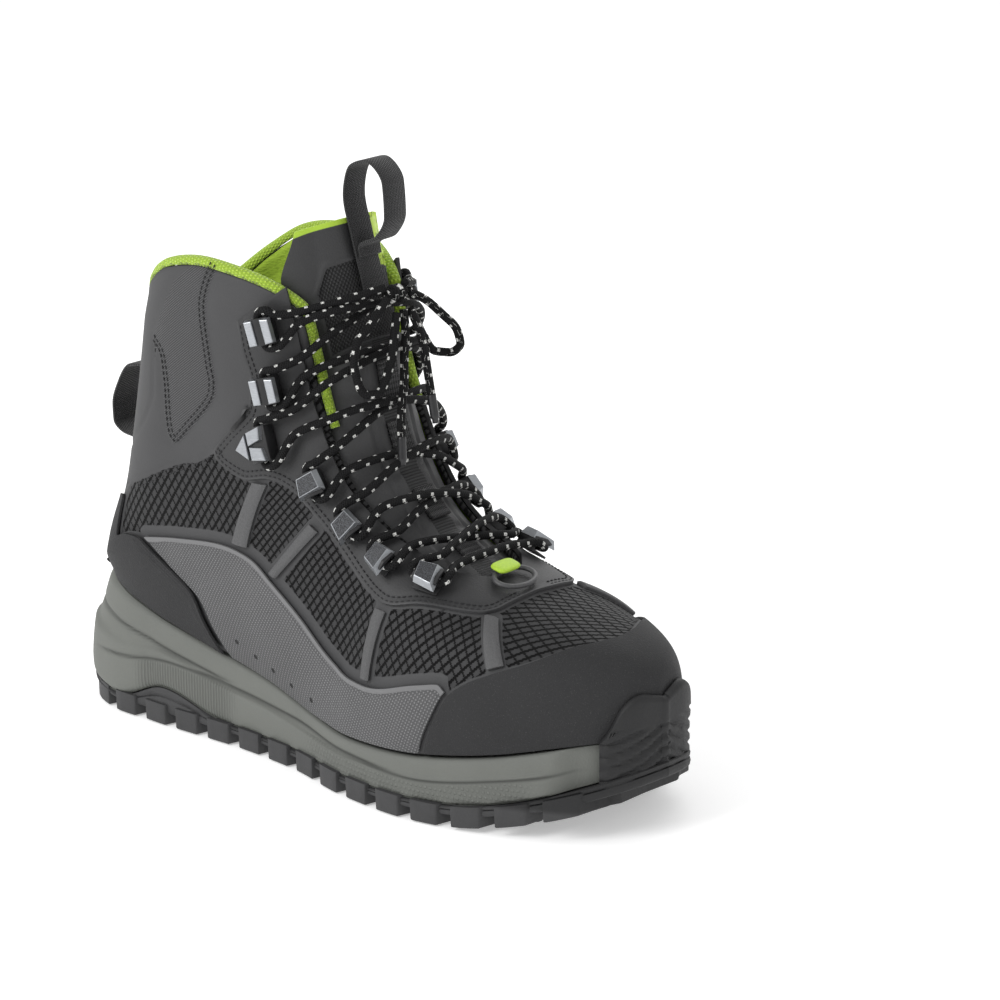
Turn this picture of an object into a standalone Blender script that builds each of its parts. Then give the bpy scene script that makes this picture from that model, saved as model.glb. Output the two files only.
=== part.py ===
"""Wading boot for a right foot, as an assembly of its pieces.

Metres, +Z up, toe towards +X, outer (lateral) side towards -Y. The origin is on the floor,
under the middle of the boot.
"""
import math

import bmesh
import bpy
import numpy as np
from mathutils import Vector

# Driving sizes of the boot.
LENGTH = 0.310              # heel back to toe guard, at the tread
BALL_WIDTH = 0.111          # tread width at the ball
HEEL_WIDTH = 0.079          # tread width at the heel
COLLAR_HEIGHT = 0.211       # floor to the highest point of the cuff's side
INSTEP_HEIGHT = 0.091       # floor to the vamp's ridge at the foot of the throat
HEEL_STACK = 0.057          # floor to the midsole's top edge at the heel's back
BALL_STACK = 0.0245         # floor to the midsole's top edge beside the ball
TOE_STACK = 0.043           # floor to the midsole's top edge at the toe
HEEL_SWEEP = 0.0080         # how far the sole stands out behind the heel's top edge
TOE_SPRING = 0.020          # tread's lift at the tip of the toe
LUG_DEPTH = 0.0046          # height of a tread lug
UPPER_WALL = 0.0024         # vamp and quarters
CUFF_WALL = 0.0052          # padded cuff and collar
OVERLAY = 0.0011            # moulded film and leather laid over the upper
TOE_GUARD = 0.0028          # rubber wall in front of the toe
TONGUE_WALL = 0.0042
INSOLE_WALL = 0.0042
LACE_DIAMETER = 0.0036
WEBBING_WIDTH = 0.0125
WEBBING_WALL = 0.0014
GAP = 0.0005                # between neighbouring pieces
OVERLAY_GAP = 0.0007        # under the overlays, whose facets differ from the upper's

ORIGIN_X = 0.0042           # from the middle of the tread to the middle of the whole boot

LATERAL, MEDIAL = -1, 1


def smooth(xs, ys, x):
    """Value at x of the smooth curve through the points, with no overshoot between them."""
    xs = np.asarray(xs, float)
    ys = np.asarray(ys, float)
    step = np.diff(xs)
    rise = np.diff(ys) / step
    slope = np.zeros(len(xs))
    same = rise[:-1] * rise[1:] > 0
    w1 = 2 * step[1:] + step[:-1]
    w2 = step[1:] + 2 * step[:-1]
    both = (w1 + w2)[same] / (w1[same] / rise[:-1][same] + w2[same] / rise[1:][same])
    slope[1:-1][same] = both
    slope[0] = rise[0]
    slope[-1] = rise[-1]
    x = np.clip(x, xs[0], xs[-1])
    i = np.clip(np.searchsorted(xs, x, side="right") - 1, 0, len(xs) - 2)
    t = (x - xs[i]) / step[i]
    a = (1 + 2 * t) * (1 - t) ** 2 * ys[i] + t * (1 - t) ** 2 * step[i] * slope[i]
    b = t * t * (3 - 2 * t) * ys[i + 1] + t * t * (t - 1) * step[i] * slope[i + 1]
    return a + b


def column(table, name):
    """One named column of a table whose first row holds the names."""
    at = table[0].index(name)
    return [row[at] for row in table[1:]]


# The tread's outline. Along is a share of LENGTH from the heel's back, and the half widths
# are shares of BALL_WIDTH, or of HEEL_WIDTH for the rows behind the waist.
TREAD = (
    ("along", "outer", "inner", "follows"),
    (0.000, 0.000, 0.000, "heel"),
    (0.006, 0.130, 0.130, "heel"),
    (0.020, 0.232, 0.232, "heel"),
    (0.060, 0.372, 0.375, "heel"),
    (0.120, 0.462, 0.472, "heel"),
    (0.200, 0.494, 0.508, "heel"),
    (0.320, 0.490, 0.460, "heel"),
    (0.450, 0.382, 0.300, "ball"),
    (0.580, 0.476, 0.382, "ball"),
    (0.680, 0.504, 0.476, "ball"),
    (0.780, 0.462, 0.5035, "ball"),
    (0.860, 0.388, 0.440, "ball"),
    (0.920, 0.306, 0.350, "ball"),
    (0.965, 0.212, 0.240, "ball"),
    (0.990, 0.118, 0.130, "ball"),
    (1.000, 0.000, 0.000, "ball"),
)
RING_POINTS = 50
HEEL_SWEEP_END = 0.16       # share of LENGTH where the heel's sweep starts


def tread_half_width(along, side):
    widths = {"heel": HEEL_WIDTH, "ball": BALL_WIDTH}
    shares = column(TREAD, "outer" if side == LATERAL else "inner")
    follows = column(TREAD, "follows")
    halves = [share * widths[name] for share, name in zip(shares, follows)]
    return smooth(column(TREAD, "along"), halves, along)


def station(along):
    """X of a share of the boot's length."""
    return (along - 0.5) * LENGTH + ORIGIN_X


def tread_ring(inset, count=RING_POINTS, flare=0.0):
    """The tread's outline from the heel round the outer side, moved inwards by inset.

    Flare is the share of the heel's backward sweep that it takes.
    """
    half = count // 2
    share = (1 - np.cos(np.pi * np.arange(half + 1) / half)) / 2
    outer = np.c_[station(share), -tread_half_width(share, LATERAL)]
    inner = np.c_[station(share), tread_half_width(share, MEDIAL)][::-1][1:-1]
    ring = np.r_[outer, inner]
    run = np.roll(ring, -1, 0) - np.roll(ring, 1, 0)
    run /= np.linalg.norm(run, axis=1)[:, None]
    inward = np.c_[-run[:, 1], run[:, 0]]
    sweep = np.clip((HEEL_SWEEP_END - along_of(ring[:, 0])) / HEEL_SWEEP_END, 0, 1)
    inset = inset - flare * HEEL_SWEEP * sweep * (2 - sweep)
    return ring + inward * inset[:, None]


# Heights of the sole along the boot. The rows hold shares of the named heights.
SOLE_LINES = (
    ("along", "stack", "of", "rubber", "hollow"),
    (0.00, 1.00, "heel", 0.0098, 0.022),
    (0.10, 0.91, "heel", 0.0072, 0.020),
    (0.19, 0.80, "heel", 0.0158, 0.016),
    (0.31, 0.66, "heel", 0.0080, 0.011),
    (0.40, 0.57, "heel", 0.0075, 0.008),
    (0.50, 1.05, "ball", 0.0073, 0.007),
    (0.58, 0.98, "ball", 0.0073, 0.007),
    (0.70, 1.07, "ball", 0.0080, 0.009),
    (0.82, 1.30, "ball", 0.0092, 0.012),
    (0.92, 0.90, "toe", 0.0105, 0.014),
    (1.00, 1.00, "toe", 0.0115, 0.015),
)


def along_of(x):
    return (x - ORIGIN_X) / LENGTH + 0.5


def ground(x):
    """Height of the tread's face: flat under heel and ball, lifted at the toe."""
    lift = np.clip((along_of(x) - 0.74) / 0.26, 0, 1)
    back = np.clip((0.045 - along_of(x)) / 0.045, 0, 1)
    return TOE_SPRING * lift ** 1.8 + 0.35 * LUG_DEPTH * back ** 1.5


def stack_top(x):
    """Height of the midsole's top edge, which is where the upper starts."""
    sizes = {"heel": HEEL_STACK, "ball": BALL_STACK, "toe": TOE_STACK}
    shares = zip(column(SOLE_LINES, "stack"), column(SOLE_LINES, "of"))
    heights = [share * sizes[name] for share, name in shares]
    return smooth(column(SOLE_LINES, "along"), heights, along_of(x))


def rubber_top(x):
    """Height of the line between the rubber outsole and the foam midsole."""
    over = column(SOLE_LINES, "rubber")
    return ground(x) + smooth(column(SOLE_LINES, "along"), over, along_of(x))


def footbed(x):
    """Height of the floor of the midsole's hollow."""
    deep = column(SOLE_LINES, "hollow")
    return stack_top(x) - smooth(column(SOLE_LINES, "along"), deep, along_of(x))


# How far the upper's foot edge lies inside the tread's outline.
FOOT_INSET = (
    ("along", "inset"),
    (0.00, 0.0062),
    (0.20, 0.0046),
    (0.55, 0.0032),
    (0.80, 0.0034),
    (0.92, 0.0052),
    (1.00, 0.0062),
)
FOAM_RIM = 0.0070           # from the upper's foot edge in to the midsole's hollow


def foot_inset(x):
    return smooth(column(FOOT_INSET, "along"), column(FOOT_INSET, "inset"), along_of(x))


def foot_half_width(x, side):
    """Half width of the upper where it meets the midsole."""
    plain = tread_ring(0.0, 240)
    ring = tread_ring(foot_inset(plain[:, 0]), 240)
    half = ring[:121] if side == LATERAL else np.r_[ring[120:], ring[:1]][::-1]
    order = np.argsort(half[:, 0])
    ends = (half[order[0], 0], half[order[-1], 0])
    width = np.interp(x, half[order, 0], np.abs(half[order, 1]))
    return np.where((x <= ends[0]) | (x >= ends[1]), 0.0, width), ends


HEEL_END, TOE_END = foot_half_width(0.0, LATERAL)[1]

# The upper's sections, from the tip of the toe (run 0) to above the collar (run 1). Base is
# the section's foot: along the midsole's rim, then up the heel's back, where base_up is a
# share of COLLAR_HEIGHT. Ridge is its highest or foremost point. Ridge_up is a share of
# INSTEP_HEIGHT for the foot and of COLLAR_HEIGHT for the shaft. The half widths are shares
# of BALL_WIDTH, widest is the share of the section's depth where it is widest, and crown is
# how square its ridge is.
SECTIONS = (
    ("run", "base", "base_up", "ridge", "ridge_up", "of", "outer", "inner", "widest", "crown"),
    (0.00, 1.000, 0.0, 1.000, 0.640, "instep", 0.000, 0.000, 0.20, 2.5),
    (0.02, 0.997, 0.0, 0.997, 0.690, "instep", 0.000, 0.000, 0.20, 2.5),
    (0.05, 0.985, 0.0, 0.988, 0.745, "instep", 0.000, 0.000, 0.21, 2.5),
    (0.09, 0.963, 0.0, 0.966, 0.800, "instep", 0.000, 0.000, 0.22, 2.5),
    (0.14, 0.930, 0.0, 0.934, 0.842, "instep", 0.000, 0.000, 0.22, 2.5),
    (0.20, 0.880, 0.0, 0.884, 0.882, "instep", 0.000, 0.000, 0.22, 2.5),
    (0.28, 0.808, 0.0, 0.812, 0.936, "instep", 0.000, 0.000, 0.22, 2.4),
    (0.36, 0.722, 0.0, 0.735, 1.000, "instep", 0.000, 0.000, 0.22, 2.4),
    (0.43, 0.638, 0.0, 0.676, 1.085, "instep", 0.468, 0.424, 0.23, 2.4),
    (0.50, 0.547, 0.0, 0.620, 1.200, "instep", 0.432, 0.372, 0.25, 2.4),
    (0.56, 0.450, 0.0, 0.575, 0.576, "collar", 0.405, 0.362, 0.27, 2.5),
    (0.62, 0.340, 0.0, 0.543, 0.648, "collar", 0.390, 0.370, 0.30, 2.6),
    (0.67, 0.228, 0.0, 0.526, 0.717, "collar", 0.382, 0.372, 0.33, 2.7),
    (0.72, 0.120, 0.0, 0.517, 0.777, "collar", 0.376, 0.370, 0.35, 2.8),
    (0.74, 0.068, 0.0, 0.514, 0.799, "collar", 0.374, 0.369, 0.355, 2.85),
    (0.76, 0.030, 0.0, 0.511, 0.820, "collar", 0.372, 0.368, 0.36, 2.9),
    (0.78, 0.0075, 0.0, 0.508, 0.840, "collar", 0.371, 0.367, 0.366, 2.9),
    (0.79, 0.0019, 0.0, 0.507, 0.850, "collar", 0.370, 0.366, 0.37, 2.9),
    (0.81, 0.008, 0.310, 0.504, 0.870, "collar", 0.369, 0.365, 0.37, 2.9),
    (0.86, 0.042, 0.430, 0.495, 0.920, "collar", 0.370, 0.366, 0.38, 2.9),
    (0.91, 0.066, 0.565, 0.483, 0.975, "collar", 0.378, 0.372, 0.39, 2.9),
    (0.96, 0.090, 0.715, 0.468, 1.035, "collar", 0.388, 0.382, 0.40, 2.9),
    (1.00, 0.116, 0.900, 0.448, 1.130, "collar", 0.396, 0.390, 0.41, 2.9),
)
HEEL_CORNER = 0.80          # run at which the section's foot turns up the heel's back
FOOT_SWELL = 1.03           # widest width over the width at the midsole, in the foot
SECTION_ROWS = 201
SECTION_COLUMNS = 97


def section_curve(run, side):
    """Points of one half section, from its foot to its ridge, evenly spaced."""
    def at(name):
        return smooth(column(SECTIONS, "run"), column(SECTIONS, name), run)
    sizes = {"instep": INSTEP_HEIGHT, "collar": COLLAR_HEIGHT}
    ridge_heights = [share * sizes[name] for share, name
                     in zip(column(SECTIONS, "ridge_up"), column(SECTIONS, "of"))]
    ridge_x = HEEL_END + (TOE_END - HEEL_END) * at("ridge")
    ridge = np.array([ridge_x, smooth(column(SECTIONS, "run"), ridge_heights, run)])
    base_x = HEEL_END + (TOE_END - HEEL_END) * at("base")
    foot = float(foot_half_width(base_x, side)[0])
    rim = stack_top(base_x) + 2 * GAP
    if run > HEEL_CORNER:
        runs = [HEEL_CORNER] + [r for r in column(SECTIONS, "run") if r > HEEL_CORNER]
        ups = [u * COLLAR_HEIGHT for u in column(SECTIONS, "base_up") if u > 0]
        backs = [b for b, u in zip(column(SECTIONS, "base"), column(SECTIONS, "base_up")) if u]
        back_x = smooth(runs, [0.0] + backs, run)
        base_x = HEEL_END + (TOE_END - HEEL_END) * back_x
        rim = smooth(runs, [stack_top(HEEL_END) + 2 * GAP] + ups, run)
        foot = 0.0
    elif run > 0.79:
        share = (run - 0.79) / (HEEL_CORNER - 0.79)
        base_x = base_x + (HEEL_END - base_x) * share
        foot = float(foot_half_width(base_x, side)[0])
        rim = stack_top(base_x) + 2 * GAP
    base = np.array([base_x, rim])
    wide = at("outer" if side == LATERAL else "inner") * BALL_WIDTH
    wide = max(wide, foot * FOOT_SWELL)
    widest = at("widest")
    crown = at("crown")
    start = math.asin((foot / wide if wide > 0 else 1 / FOOT_SWELL) ** 1.1)
    low = np.linspace(start, math.pi / 2, 60)
    high = np.linspace(0, math.pi / 2, 140)[1:]
    low_y = wide * np.sin(low) ** (1 / 1.1)
    low_q = widest * (1 - np.cos(low) ** (1 / 1.1) / max(math.cos(start) ** (1 / 1.1), 1e-6))
    high_y = wide * np.cos(high).clip(0) ** (2 / crown)
    high_q = widest + (1 - widest) * np.sin(high) ** (2 / crown)
    y = np.r_[low_y, high_y]
    q = np.r_[low_q, high_q].clip(0, 1)
    points = np.c_[base[0] + q * (ridge[0] - base[0]), side * y, base[1] + q * (ridge[1] - base[1])]
    length = np.r_[0, np.cumsum(np.linalg.norm(np.diff(points, axis=0), axis=1))]
    wanted = np.linspace(0, length[-1], SECTION_COLUMNS)
    return np.array([np.interp(wanted, length, points[:, k]) for k in range(3)]).T


def last_surface():
    """The upper's outer form, as points and outward normals on a lattice of run and rise."""
    runs = np.linspace(0, 1, SECTION_ROWS)
    form = {side: np.array([section_curve(run, side) for run in runs]) for side in (LATERAL, MEDIAL)}
    normal = {}
    for side, points in form.items():
        across = np.cross(np.gradient(points, axis=0), np.gradient(points, axis=1)) * side
        size = np.linalg.norm(across, axis=2)[..., None]
        normal[side] = across / np.maximum(size, 1e-12)
    back = runs >= HEEL_CORNER
    for rows, at in ((slice(None), -1), (back, 0)):
        shared = normal[LATERAL][rows, at] + normal[MEDIAL][rows, at]
        shared[:, 1] = 0.0
        shared /= np.linalg.norm(shared, axis=1)[:, None]
        normal[LATERAL][rows, at] = shared
        normal[MEDIAL][rows, at] = shared
    for side in form:
        normal[side][0] = np.array([1.0, 0.0, 0.0])
    return form, normal


FORM, NORMAL = last_surface()


def on_upper(run, rise, side, lift=0.0):
    """Point of the upper at a run and at a rise from its foot (0) to its ridge (1), lifted off it."""
    r = np.clip(np.asarray(run, float), 0, 1) * (SECTION_ROWS - 1)
    c = np.clip(np.asarray(rise, float), 0, 1) * (SECTION_COLUMNS - 1)
    i = np.minimum(r.astype(int), SECTION_ROWS - 2)
    j = np.minimum(c.astype(int), SECTION_COLUMNS - 2)
    a = (r - i)[..., None]
    b = (c - j)[..., None]

    def mixed(lattice):
        low = lattice[i, j] * (1 - b) + lattice[i, j + 1] * b
        high = lattice[i + 1, j] * (1 - b) + lattice[i + 1, j + 1] * b
        return low * (1 - a) + high * a
    out = mixed(NORMAL[side])
    out = out / np.linalg.norm(out, axis=-1, keepdims=True)
    return mixed(FORM[side]) + out * np.asarray(lift, float)[..., None]


def girth(run, side):
    """Length of a half section from its foot to its ridge."""
    points = on_upper(np.full(60, run), np.linspace(0, 1, 60), side)
    return float(np.linalg.norm(np.diff(points, axis=0), axis=1).sum())


# The throat: half its width, measured over the upper from the ridge, as shares of BALL_WIDTH.
THROAT = (
    ("run", "half"),
    (0.375, 0.000),
    (0.380, 0.070),
    (0.392, 0.130),
    (0.430, 0.180),
    (0.500, 0.215),
    (0.560, 0.245),
    (0.620, 0.280),
    (0.700, 0.305),
    (0.800, 0.320),
    (1.000, 0.330),
)
THROAT_FOOT = THROAT[1][0]

# The collar's edge: its height as a share of COLLAR_HEIGHT, by rise round the shaft.
COLLAR = (
    ("rise", "up"),
    (0.00, 0.825),
    (0.12, 0.850),
    (0.28, 0.930),
    (0.42, 0.985),
    (0.55, 1.000),
    (0.68, 0.988),
    (0.76, 0.965),
    (0.82, 0.925),
)


def throat_rise(run, side):
    """Rise of the throat's edge; 1 where the vamp is closed."""
    half = smooth(column(THROAT, "run"), column(THROAT, "half"), run) * BALL_WIDTH
    return 1 - half / girth(run, side) if run > THROAT_FOOT else 1.0


def collar_run(rise, side):
    """Run of the collar's edge at a rise."""
    wanted = smooth(column(COLLAR, "rise"), column(COLLAR, "up"), rise) * COLLAR_HEIGHT
    runs = np.linspace(HEEL_CORNER + 0.02, 1, 120)
    heights = on_upper(runs, np.full(120, rise), side)[:, 2]
    return float(np.interp(wanted, heights, runs))


# Making of meshes.
def clear_scene():
    for thing in list(bpy.data.objects):
        bpy.data.objects.remove(thing, do_unlink=True)


def material(name, colour, roughness, metallic=0.0):
    found = bpy.data.materials.new(name)
    found.use_nodes = True
    shader = found.node_tree.nodes["Principled BSDF"]
    shader.inputs["Base Color"].default_value = (*colour, 1.0)
    shader.inputs["Roughness"].default_value = roughness
    shader.inputs["Metallic"].default_value = metallic
    return found


def make_object(name, points, faces, finish, weld=1e-6):
    mesh = bpy.data.meshes.new(name)
    mesh.from_pydata([tuple(map(float, p)) for p in points], [], faces)
    work = bmesh.new()
    work.from_mesh(mesh)
    bmesh.ops.remove_doubles(work, verts=work.verts, dist=weld)
    bmesh.ops.dissolve_degenerate(work, edges=work.edges, dist=1e-7)
    bmesh.ops.recalc_face_normals(work, faces=work.faces)
    bmesh.ops.triangulate(work, faces=work.faces)
    work.to_mesh(mesh)
    work.free()
    mesh.materials.append(finish)
    thing = bpy.data.objects.new(name, mesh)
    bpy.context.scene.collection.objects.link(thing)
    return thing


def grid_faces(rows, columns, first=0):
    return [(first + i * columns + j, first + i * columns + j + 1,
             first + (i + 1) * columns + j + 1, first + (i + 1) * columns + j)
            for i in range(rows - 1) for j in range(columns - 1)]


def closed_sheet(name, outer, inner, finish):
    """A solid between two grids of points of one size, closed round their border."""
    rows, columns = outer.shape[:2]
    count = rows * columns
    points = np.r_[outer.reshape(-1, 3), inner.reshape(-1, 3)]
    faces = grid_faces(rows, columns)
    faces += [tuple(reversed(f)) for f in grid_faces(rows, columns, count)]
    border = [j for j in range(columns)]
    border += [i * columns + columns - 1 for i in range(1, rows)]
    border += [(rows - 1) * columns + j for j in range(columns - 2, -1, -1)]
    border += [i * columns for i in range(rows - 2, 0, -1)]
    for a, b in zip(border, border[1:] + border[:1]):
        faces.append((b, a, a + count, b + count))
    return make_object(name, points, faces, finish)


def strips(count):
    """Faces across a ring of the sole's outline, each between two facing pairs of points."""
    half = count // 2
    return [(j, (count - j) % count, count - j - 1, j + 1) for j in range(half)]


def loft(name, rings, finish):
    """A solid through closed rings of one point count, capped at both ends."""
    count = len(rings[0])
    points = np.concatenate(rings)
    last = (len(rings) - 1) * count
    if count == RING_POINTS:
        faces = [(a, b, c, d) for a, b, c, d in strips(count)]
        faces += [(d + last, c + last, b + last, a + last) for a, b, c, d in strips(count)]
    else:
        faces = [tuple(reversed(range(count))), tuple(range(last, last + count))]
    for k in range(len(rings) - 1):
        low = k * count
        for j in range(count):
            n = (j + 1) % count
            faces.append((low + j, low + n, low + count + n, low + count + j))
    faces = [tuple(dict.fromkeys(face)) for face in faces]
    return make_object(name, points, faces, finish)


def unite(target, others, name):
    """Joins solids into target with exact unions, one after the other, and removes them."""
    for other in others:
        join = target.modifiers.new("join", "BOOLEAN")
        join.operation = "UNION"
        join.solver = "EXACT"
        join.object = other
        graph = bpy.context.evaluated_depsgraph_get()
        merged = bpy.data.meshes.new_from_object(target.evaluated_get(graph))
        target.modifiers.clear()
        target.data = merged
        bpy.data.objects.remove(other, do_unlink=True)
    work = bmesh.new()
    work.from_mesh(target.data)
    bmesh.ops.dissolve_limit(work, angle_limit=math.radians(1.5), verts=work.verts, edges=work.edges)
    bmesh.ops.triangulate(work, faces=work.faces)
    work.to_mesh(target.data)
    work.free()
    target.name = name
    return target


# The sole.
def level(ring, height, lift=0.0):
    """A ring of the outline at the height that a line of the sole has at each of its points."""
    return np.c_[ring, height(ring[:, 0]) + lift]


TOE_START = 0.885           # where the toe guard begins, as a share of LENGTH


def toe_inset(x):
    """Extra inset of the midsole behind the toe guard."""
    share = np.clip((along_of(x) - TOE_START) / 0.05, 0, 1)
    return (foot_inset(x) + GAP) * share ** 2 * (3 - 2 * share)


MIDSOLE_SIDE = (
    ("height", "inset", "sweep"),
    (0.00, 0.0010, 0.90),
    (0.08, 0.0002, 1.00),
    (0.50, -0.0004, 0.80),
    (0.58, 0.0013, 0.66),
    (0.86, 0.0017, 0.24),
    (0.96, 0.0024, 0.10),
    (1.00, 0.0034, 0.00),
)


def make_midsole(foam):
    plain = tread_ring(0.0)
    hide = toe_inset(plain[:, 0])
    rings = []
    for height, inset, sweep in MIDSOLE_SIDE[1:]:
        ring = tread_ring(np.maximum(inset, hide), flare=sweep)
        bottom = rubber_top(ring[:, 0]) + GAP
        rings.append(np.c_[ring, bottom + height * (stack_top(ring[:, 0]) - bottom)])
    hollow = foot_inset(plain[:, 0]) + FOAM_RIM
    rings.append(level(tread_ring(hollow), stack_top))
    rings.append(level(tread_ring(hollow + 0.001), footbed))
    return loft("midsole", rings, foam)


def make_insole(cloth):
    plain = tread_ring(0.0)
    inset = foot_inset(plain[:, 0]) + FOAM_RIM + 0.001 + 2 * GAP
    rings = []
    for more, lift in ((0.0005, 0.0), (0.0, 0.7 * INSOLE_WALL), (0.0012, INSOLE_WALL)):
        rings.append(level(tread_ring(inset + more), footbed, 2 * GAP + lift))
    return loft("insole", rings, cloth)


EDGE_LUGS = 15              # tread lugs along each side, between heel and toe
LUG_SHARE = 0.66            # share of the pitch that a lug takes
EDGE_LUG_DEEP = 0.019
LUG_BITE = 0.0016           # how far a lug runs up into the rubber
LUG_PROUD = 0.0004          # how far an edge lug stands out of the sole's side
STAR_LUGS = (
    ("along", "across", "turn"),
    (0.120, 0.00, 0),
    (0.200, 0.12, 180),
    (0.200, -0.11, 180),
    (0.285, 0.00, 0),
    (0.370, -0.03, 180),
    (0.455, 0.00, 0),
    (0.530, 0.06, 180),
    (0.600, -0.14, 0),
    (0.600, 0.12, 180),
    (0.670, -0.01, 0),
    (0.735, 0.18, 180),
    (0.735, -0.18, 180),
    (0.800, 0.00, 0),
    (0.865, 0.00, 180),
)
STAR_ARM = 0.0095
STAR_WIDE = 0.0038


def lug_solid(outline, name, rubber):
    """A lug: its outline on the tread's face, run up into the rubber, a little wider there."""
    outline = np.asarray(outline)
    centre = outline.mean(0)
    root = centre + (outline - centre) * 1.04
    low = np.c_[outline, ground(outline[:, 0])]
    high = np.c_[root, ground(outline[:, 0]) + LUG_DEPTH + LUG_BITE]
    return loft(name, [low, high], rubber)


def edge_lugs(side, rubber):
    """Blocks along one side whose outer face is the side of the sole."""
    pitch = (0.955 - 0.035) / EDGE_LUGS
    lugs = []
    ring = tread_ring(-LUG_PROUD, 400, 0.6)
    half = ring[:201] if side == LATERAL else np.r_[ring[200:], ring[:1]][::-1]
    for k in range(EDGE_LUGS):
        start = 0.035 + k * pitch
        shares = np.linspace(start, start + LUG_SHARE * pitch, 3)
        outer = np.array([np.interp(station(shares), half[:, 0], half[:, 1])]).T
        outer = np.c_[station(shares), outer]
        deep = EDGE_LUG_DEEP * (1.0 if k % 2 else 0.78)
        skew = 0.35 * pitch * LENGTH
        inner = outer[::-1] - np.array([[-skew, side * deep]])
        inner[:, 0] = inner[:, 0] * 0.985
        outline = np.r_[outer, inner[[0, 2]]]
        lugs.append(lug_solid(outline, "edge lug", rubber))
    return lugs


def star_lug(along, across, turn, rubber):
    """A three-armed lug."""
    centre = np.array([station(along), across * BALL_WIDTH])
    points = []
    for arm in range(3):
        angle = math.radians(turn + 120 * arm)
        forward = np.array([math.cos(angle), math.sin(angle)])
        sideways = np.array([-forward[1], forward[0]])
        points += [centre + forward * STAR_ARM - sideways * STAR_WIDE / 2,
                   centre + forward * STAR_ARM + sideways * STAR_WIDE / 2]
        notch = math.radians(turn + 120 * arm + 60)
        points.append(centre + np.array([math.cos(notch), math.sin(notch)]) * STAR_WIDE * 0.6)
    return lug_solid(points, "star lug", rubber)


def end_lug(along_low, along_high, half_low, half_high, rubber):
    """A wide lug across the heel's back or the toe."""
    outline = [(station(along_low), -half_low), (station(along_high), -half_high),
               (station(along_high), half_high), (station(along_low), half_low)]
    return lug_solid(outline, "end lug", rubber)


# The toe guard's top edge: how far up the toe it reaches, by run from the tip.
GUARD = (
    ("run", "rise"),
    (0.000, 0.97),
    (0.008, 0.88),
    (0.020, 0.74),
    (0.050, 0.49),
    (0.063, 0.34),
    (0.078, 0.12),
    (0.095, 0.00),
)
GUARD_ROWS = 6
GUARD_FOOT_ROWS = 2


def make_toe_guard(rubber):
    """The outsole's rubber wall, turned up over the midsole's toe and the toe cap."""
    runs = np.array([0.0, 0.008, 0.018, 0.032, 0.05, 0.072, 0.095])
    columns = [(LATERAL, run) for run in runs[::-1]] + [(MEDIAL, run) for run in runs[1:]]
    off = 2 * GAP + OVERLAY + GAP
    grid = []
    for side, run in columns:
        top = smooth(column(GUARD, "run"), column(GUARD, "rise"), run) + 0.02
        rises = np.linspace(top, 0, GUARD_ROWS)
        walk = on_upper(np.full(GUARD_ROWS, run), rises, side, off)
        outward = on_upper(run, 0.02, side, 1.0) - on_upper(run, 0.02, side, 0.0)
        outward[2] = 0
        outward /= np.linalg.norm(outward)
        foot = on_upper(run, 0.0, side, 0.0) + outward * off
        floor = rubber_top(foot[0]) - 0.002
        downs = np.linspace(0, 1, GUARD_FOOT_ROWS + 1)[1:]
        below = [foot + (floor - foot[2]) * d * np.array([0, 0, 1.0]) for d in downs]
        grid.append(np.r_[walk[:-1], [foot], below])
    grid = np.array(grid)
    run_dir = np.gradient(grid, axis=0)
    rise_dir = np.gradient(grid, axis=1)
    out = np.cross(run_dir, rise_dir)
    out /= np.linalg.norm(out, axis=2)[..., None]
    if out[len(columns) // 2, 0, 0] < 0:
        out = -out
    wall = TOE_GUARD * np.r_[0.45, 0.9, np.ones(grid.shape[1] - 2)]
    outer = grid + out * wall[None, :, None]
    return closed_sheet("toe guard", outer, grid, rubber)


def make_outsole(rubber):
    rings = [level(tread_ring(0.0016, flare=0.60), ground, LUG_DEPTH),
             level(tread_ring(0.0006, flare=0.65), ground, LUG_DEPTH + 0.0009),
             level(tread_ring(0.0006, flare=0.88), rubber_top, -0.0002),
             level(tread_ring(0.0012, flare=0.88), rubber_top)]
    plate = loft("outsole", rings, rubber)
    lugs = edge_lugs(LATERAL, rubber) + edge_lugs(MEDIAL, rubber)
    lugs += [star_lug(*row, rubber) for row in STAR_LUGS[1:]]
    heel_half = tread_half_width(0.028, MEDIAL)
    toe_half = tread_half_width(0.968, LATERAL)
    lugs.append(end_lug(0.004, 0.030, tread_half_width(0.004, LATERAL), heel_half, rubber))
    lugs.append(end_lug(0.930, 0.968, toe_half * 0.9, toe_half * 0.8, rubber))
    return unite(plate, lugs + [make_toe_guard(rubber)], "outsole")


# The upper and what is laid over it.
UPPER_COLUMNS = 9


def shell(name, patches, high, low, finish):
    """A solid sheet that follows the upper's form.

    Each patch is a side with its grids of run and rise; high and low give the lift of the
    sheet's two faces for a run and a rise. Patches that share an edge become one sheet.
    """
    found = {}
    outer = []
    inner = []
    faces = []
    for side, run, rise in patches:
        tops = on_upper(run, rise, side, high(run, rise)).reshape(-1, 3)
        unders = on_upper(run, rise, side, low(run, rise)).reshape(-1, 3)
        index = []
        for top, under in zip(tops, unders):
            key = tuple(np.round(top * 2e4).astype(int))
            if key not in found:
                found[key] = len(outer)
                outer.append(top)
                inner.append(under)
            index.append(found[key])
        for face in grid_faces(*run.shape):
            face = tuple(dict.fromkeys(index[k] for k in face))
            if len(face) > 2:
                faces.append(face if side == LATERAL else face[::-1])
    edges = {}
    for face in faces:
        for a, b in zip(face, face[1:] + face[:1]):
            edges[(a, b)] = edges.get((a, b), 0) + 1
    count = len(outer)
    solid = list(faces) + [tuple(k + count for k in reversed(face)) for face in faces]
    solid += [(b, a, a + count, b + count) for a, b in edges if (b, a) not in edges]
    return make_object(name, outer + inner, solid, finish)


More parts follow.
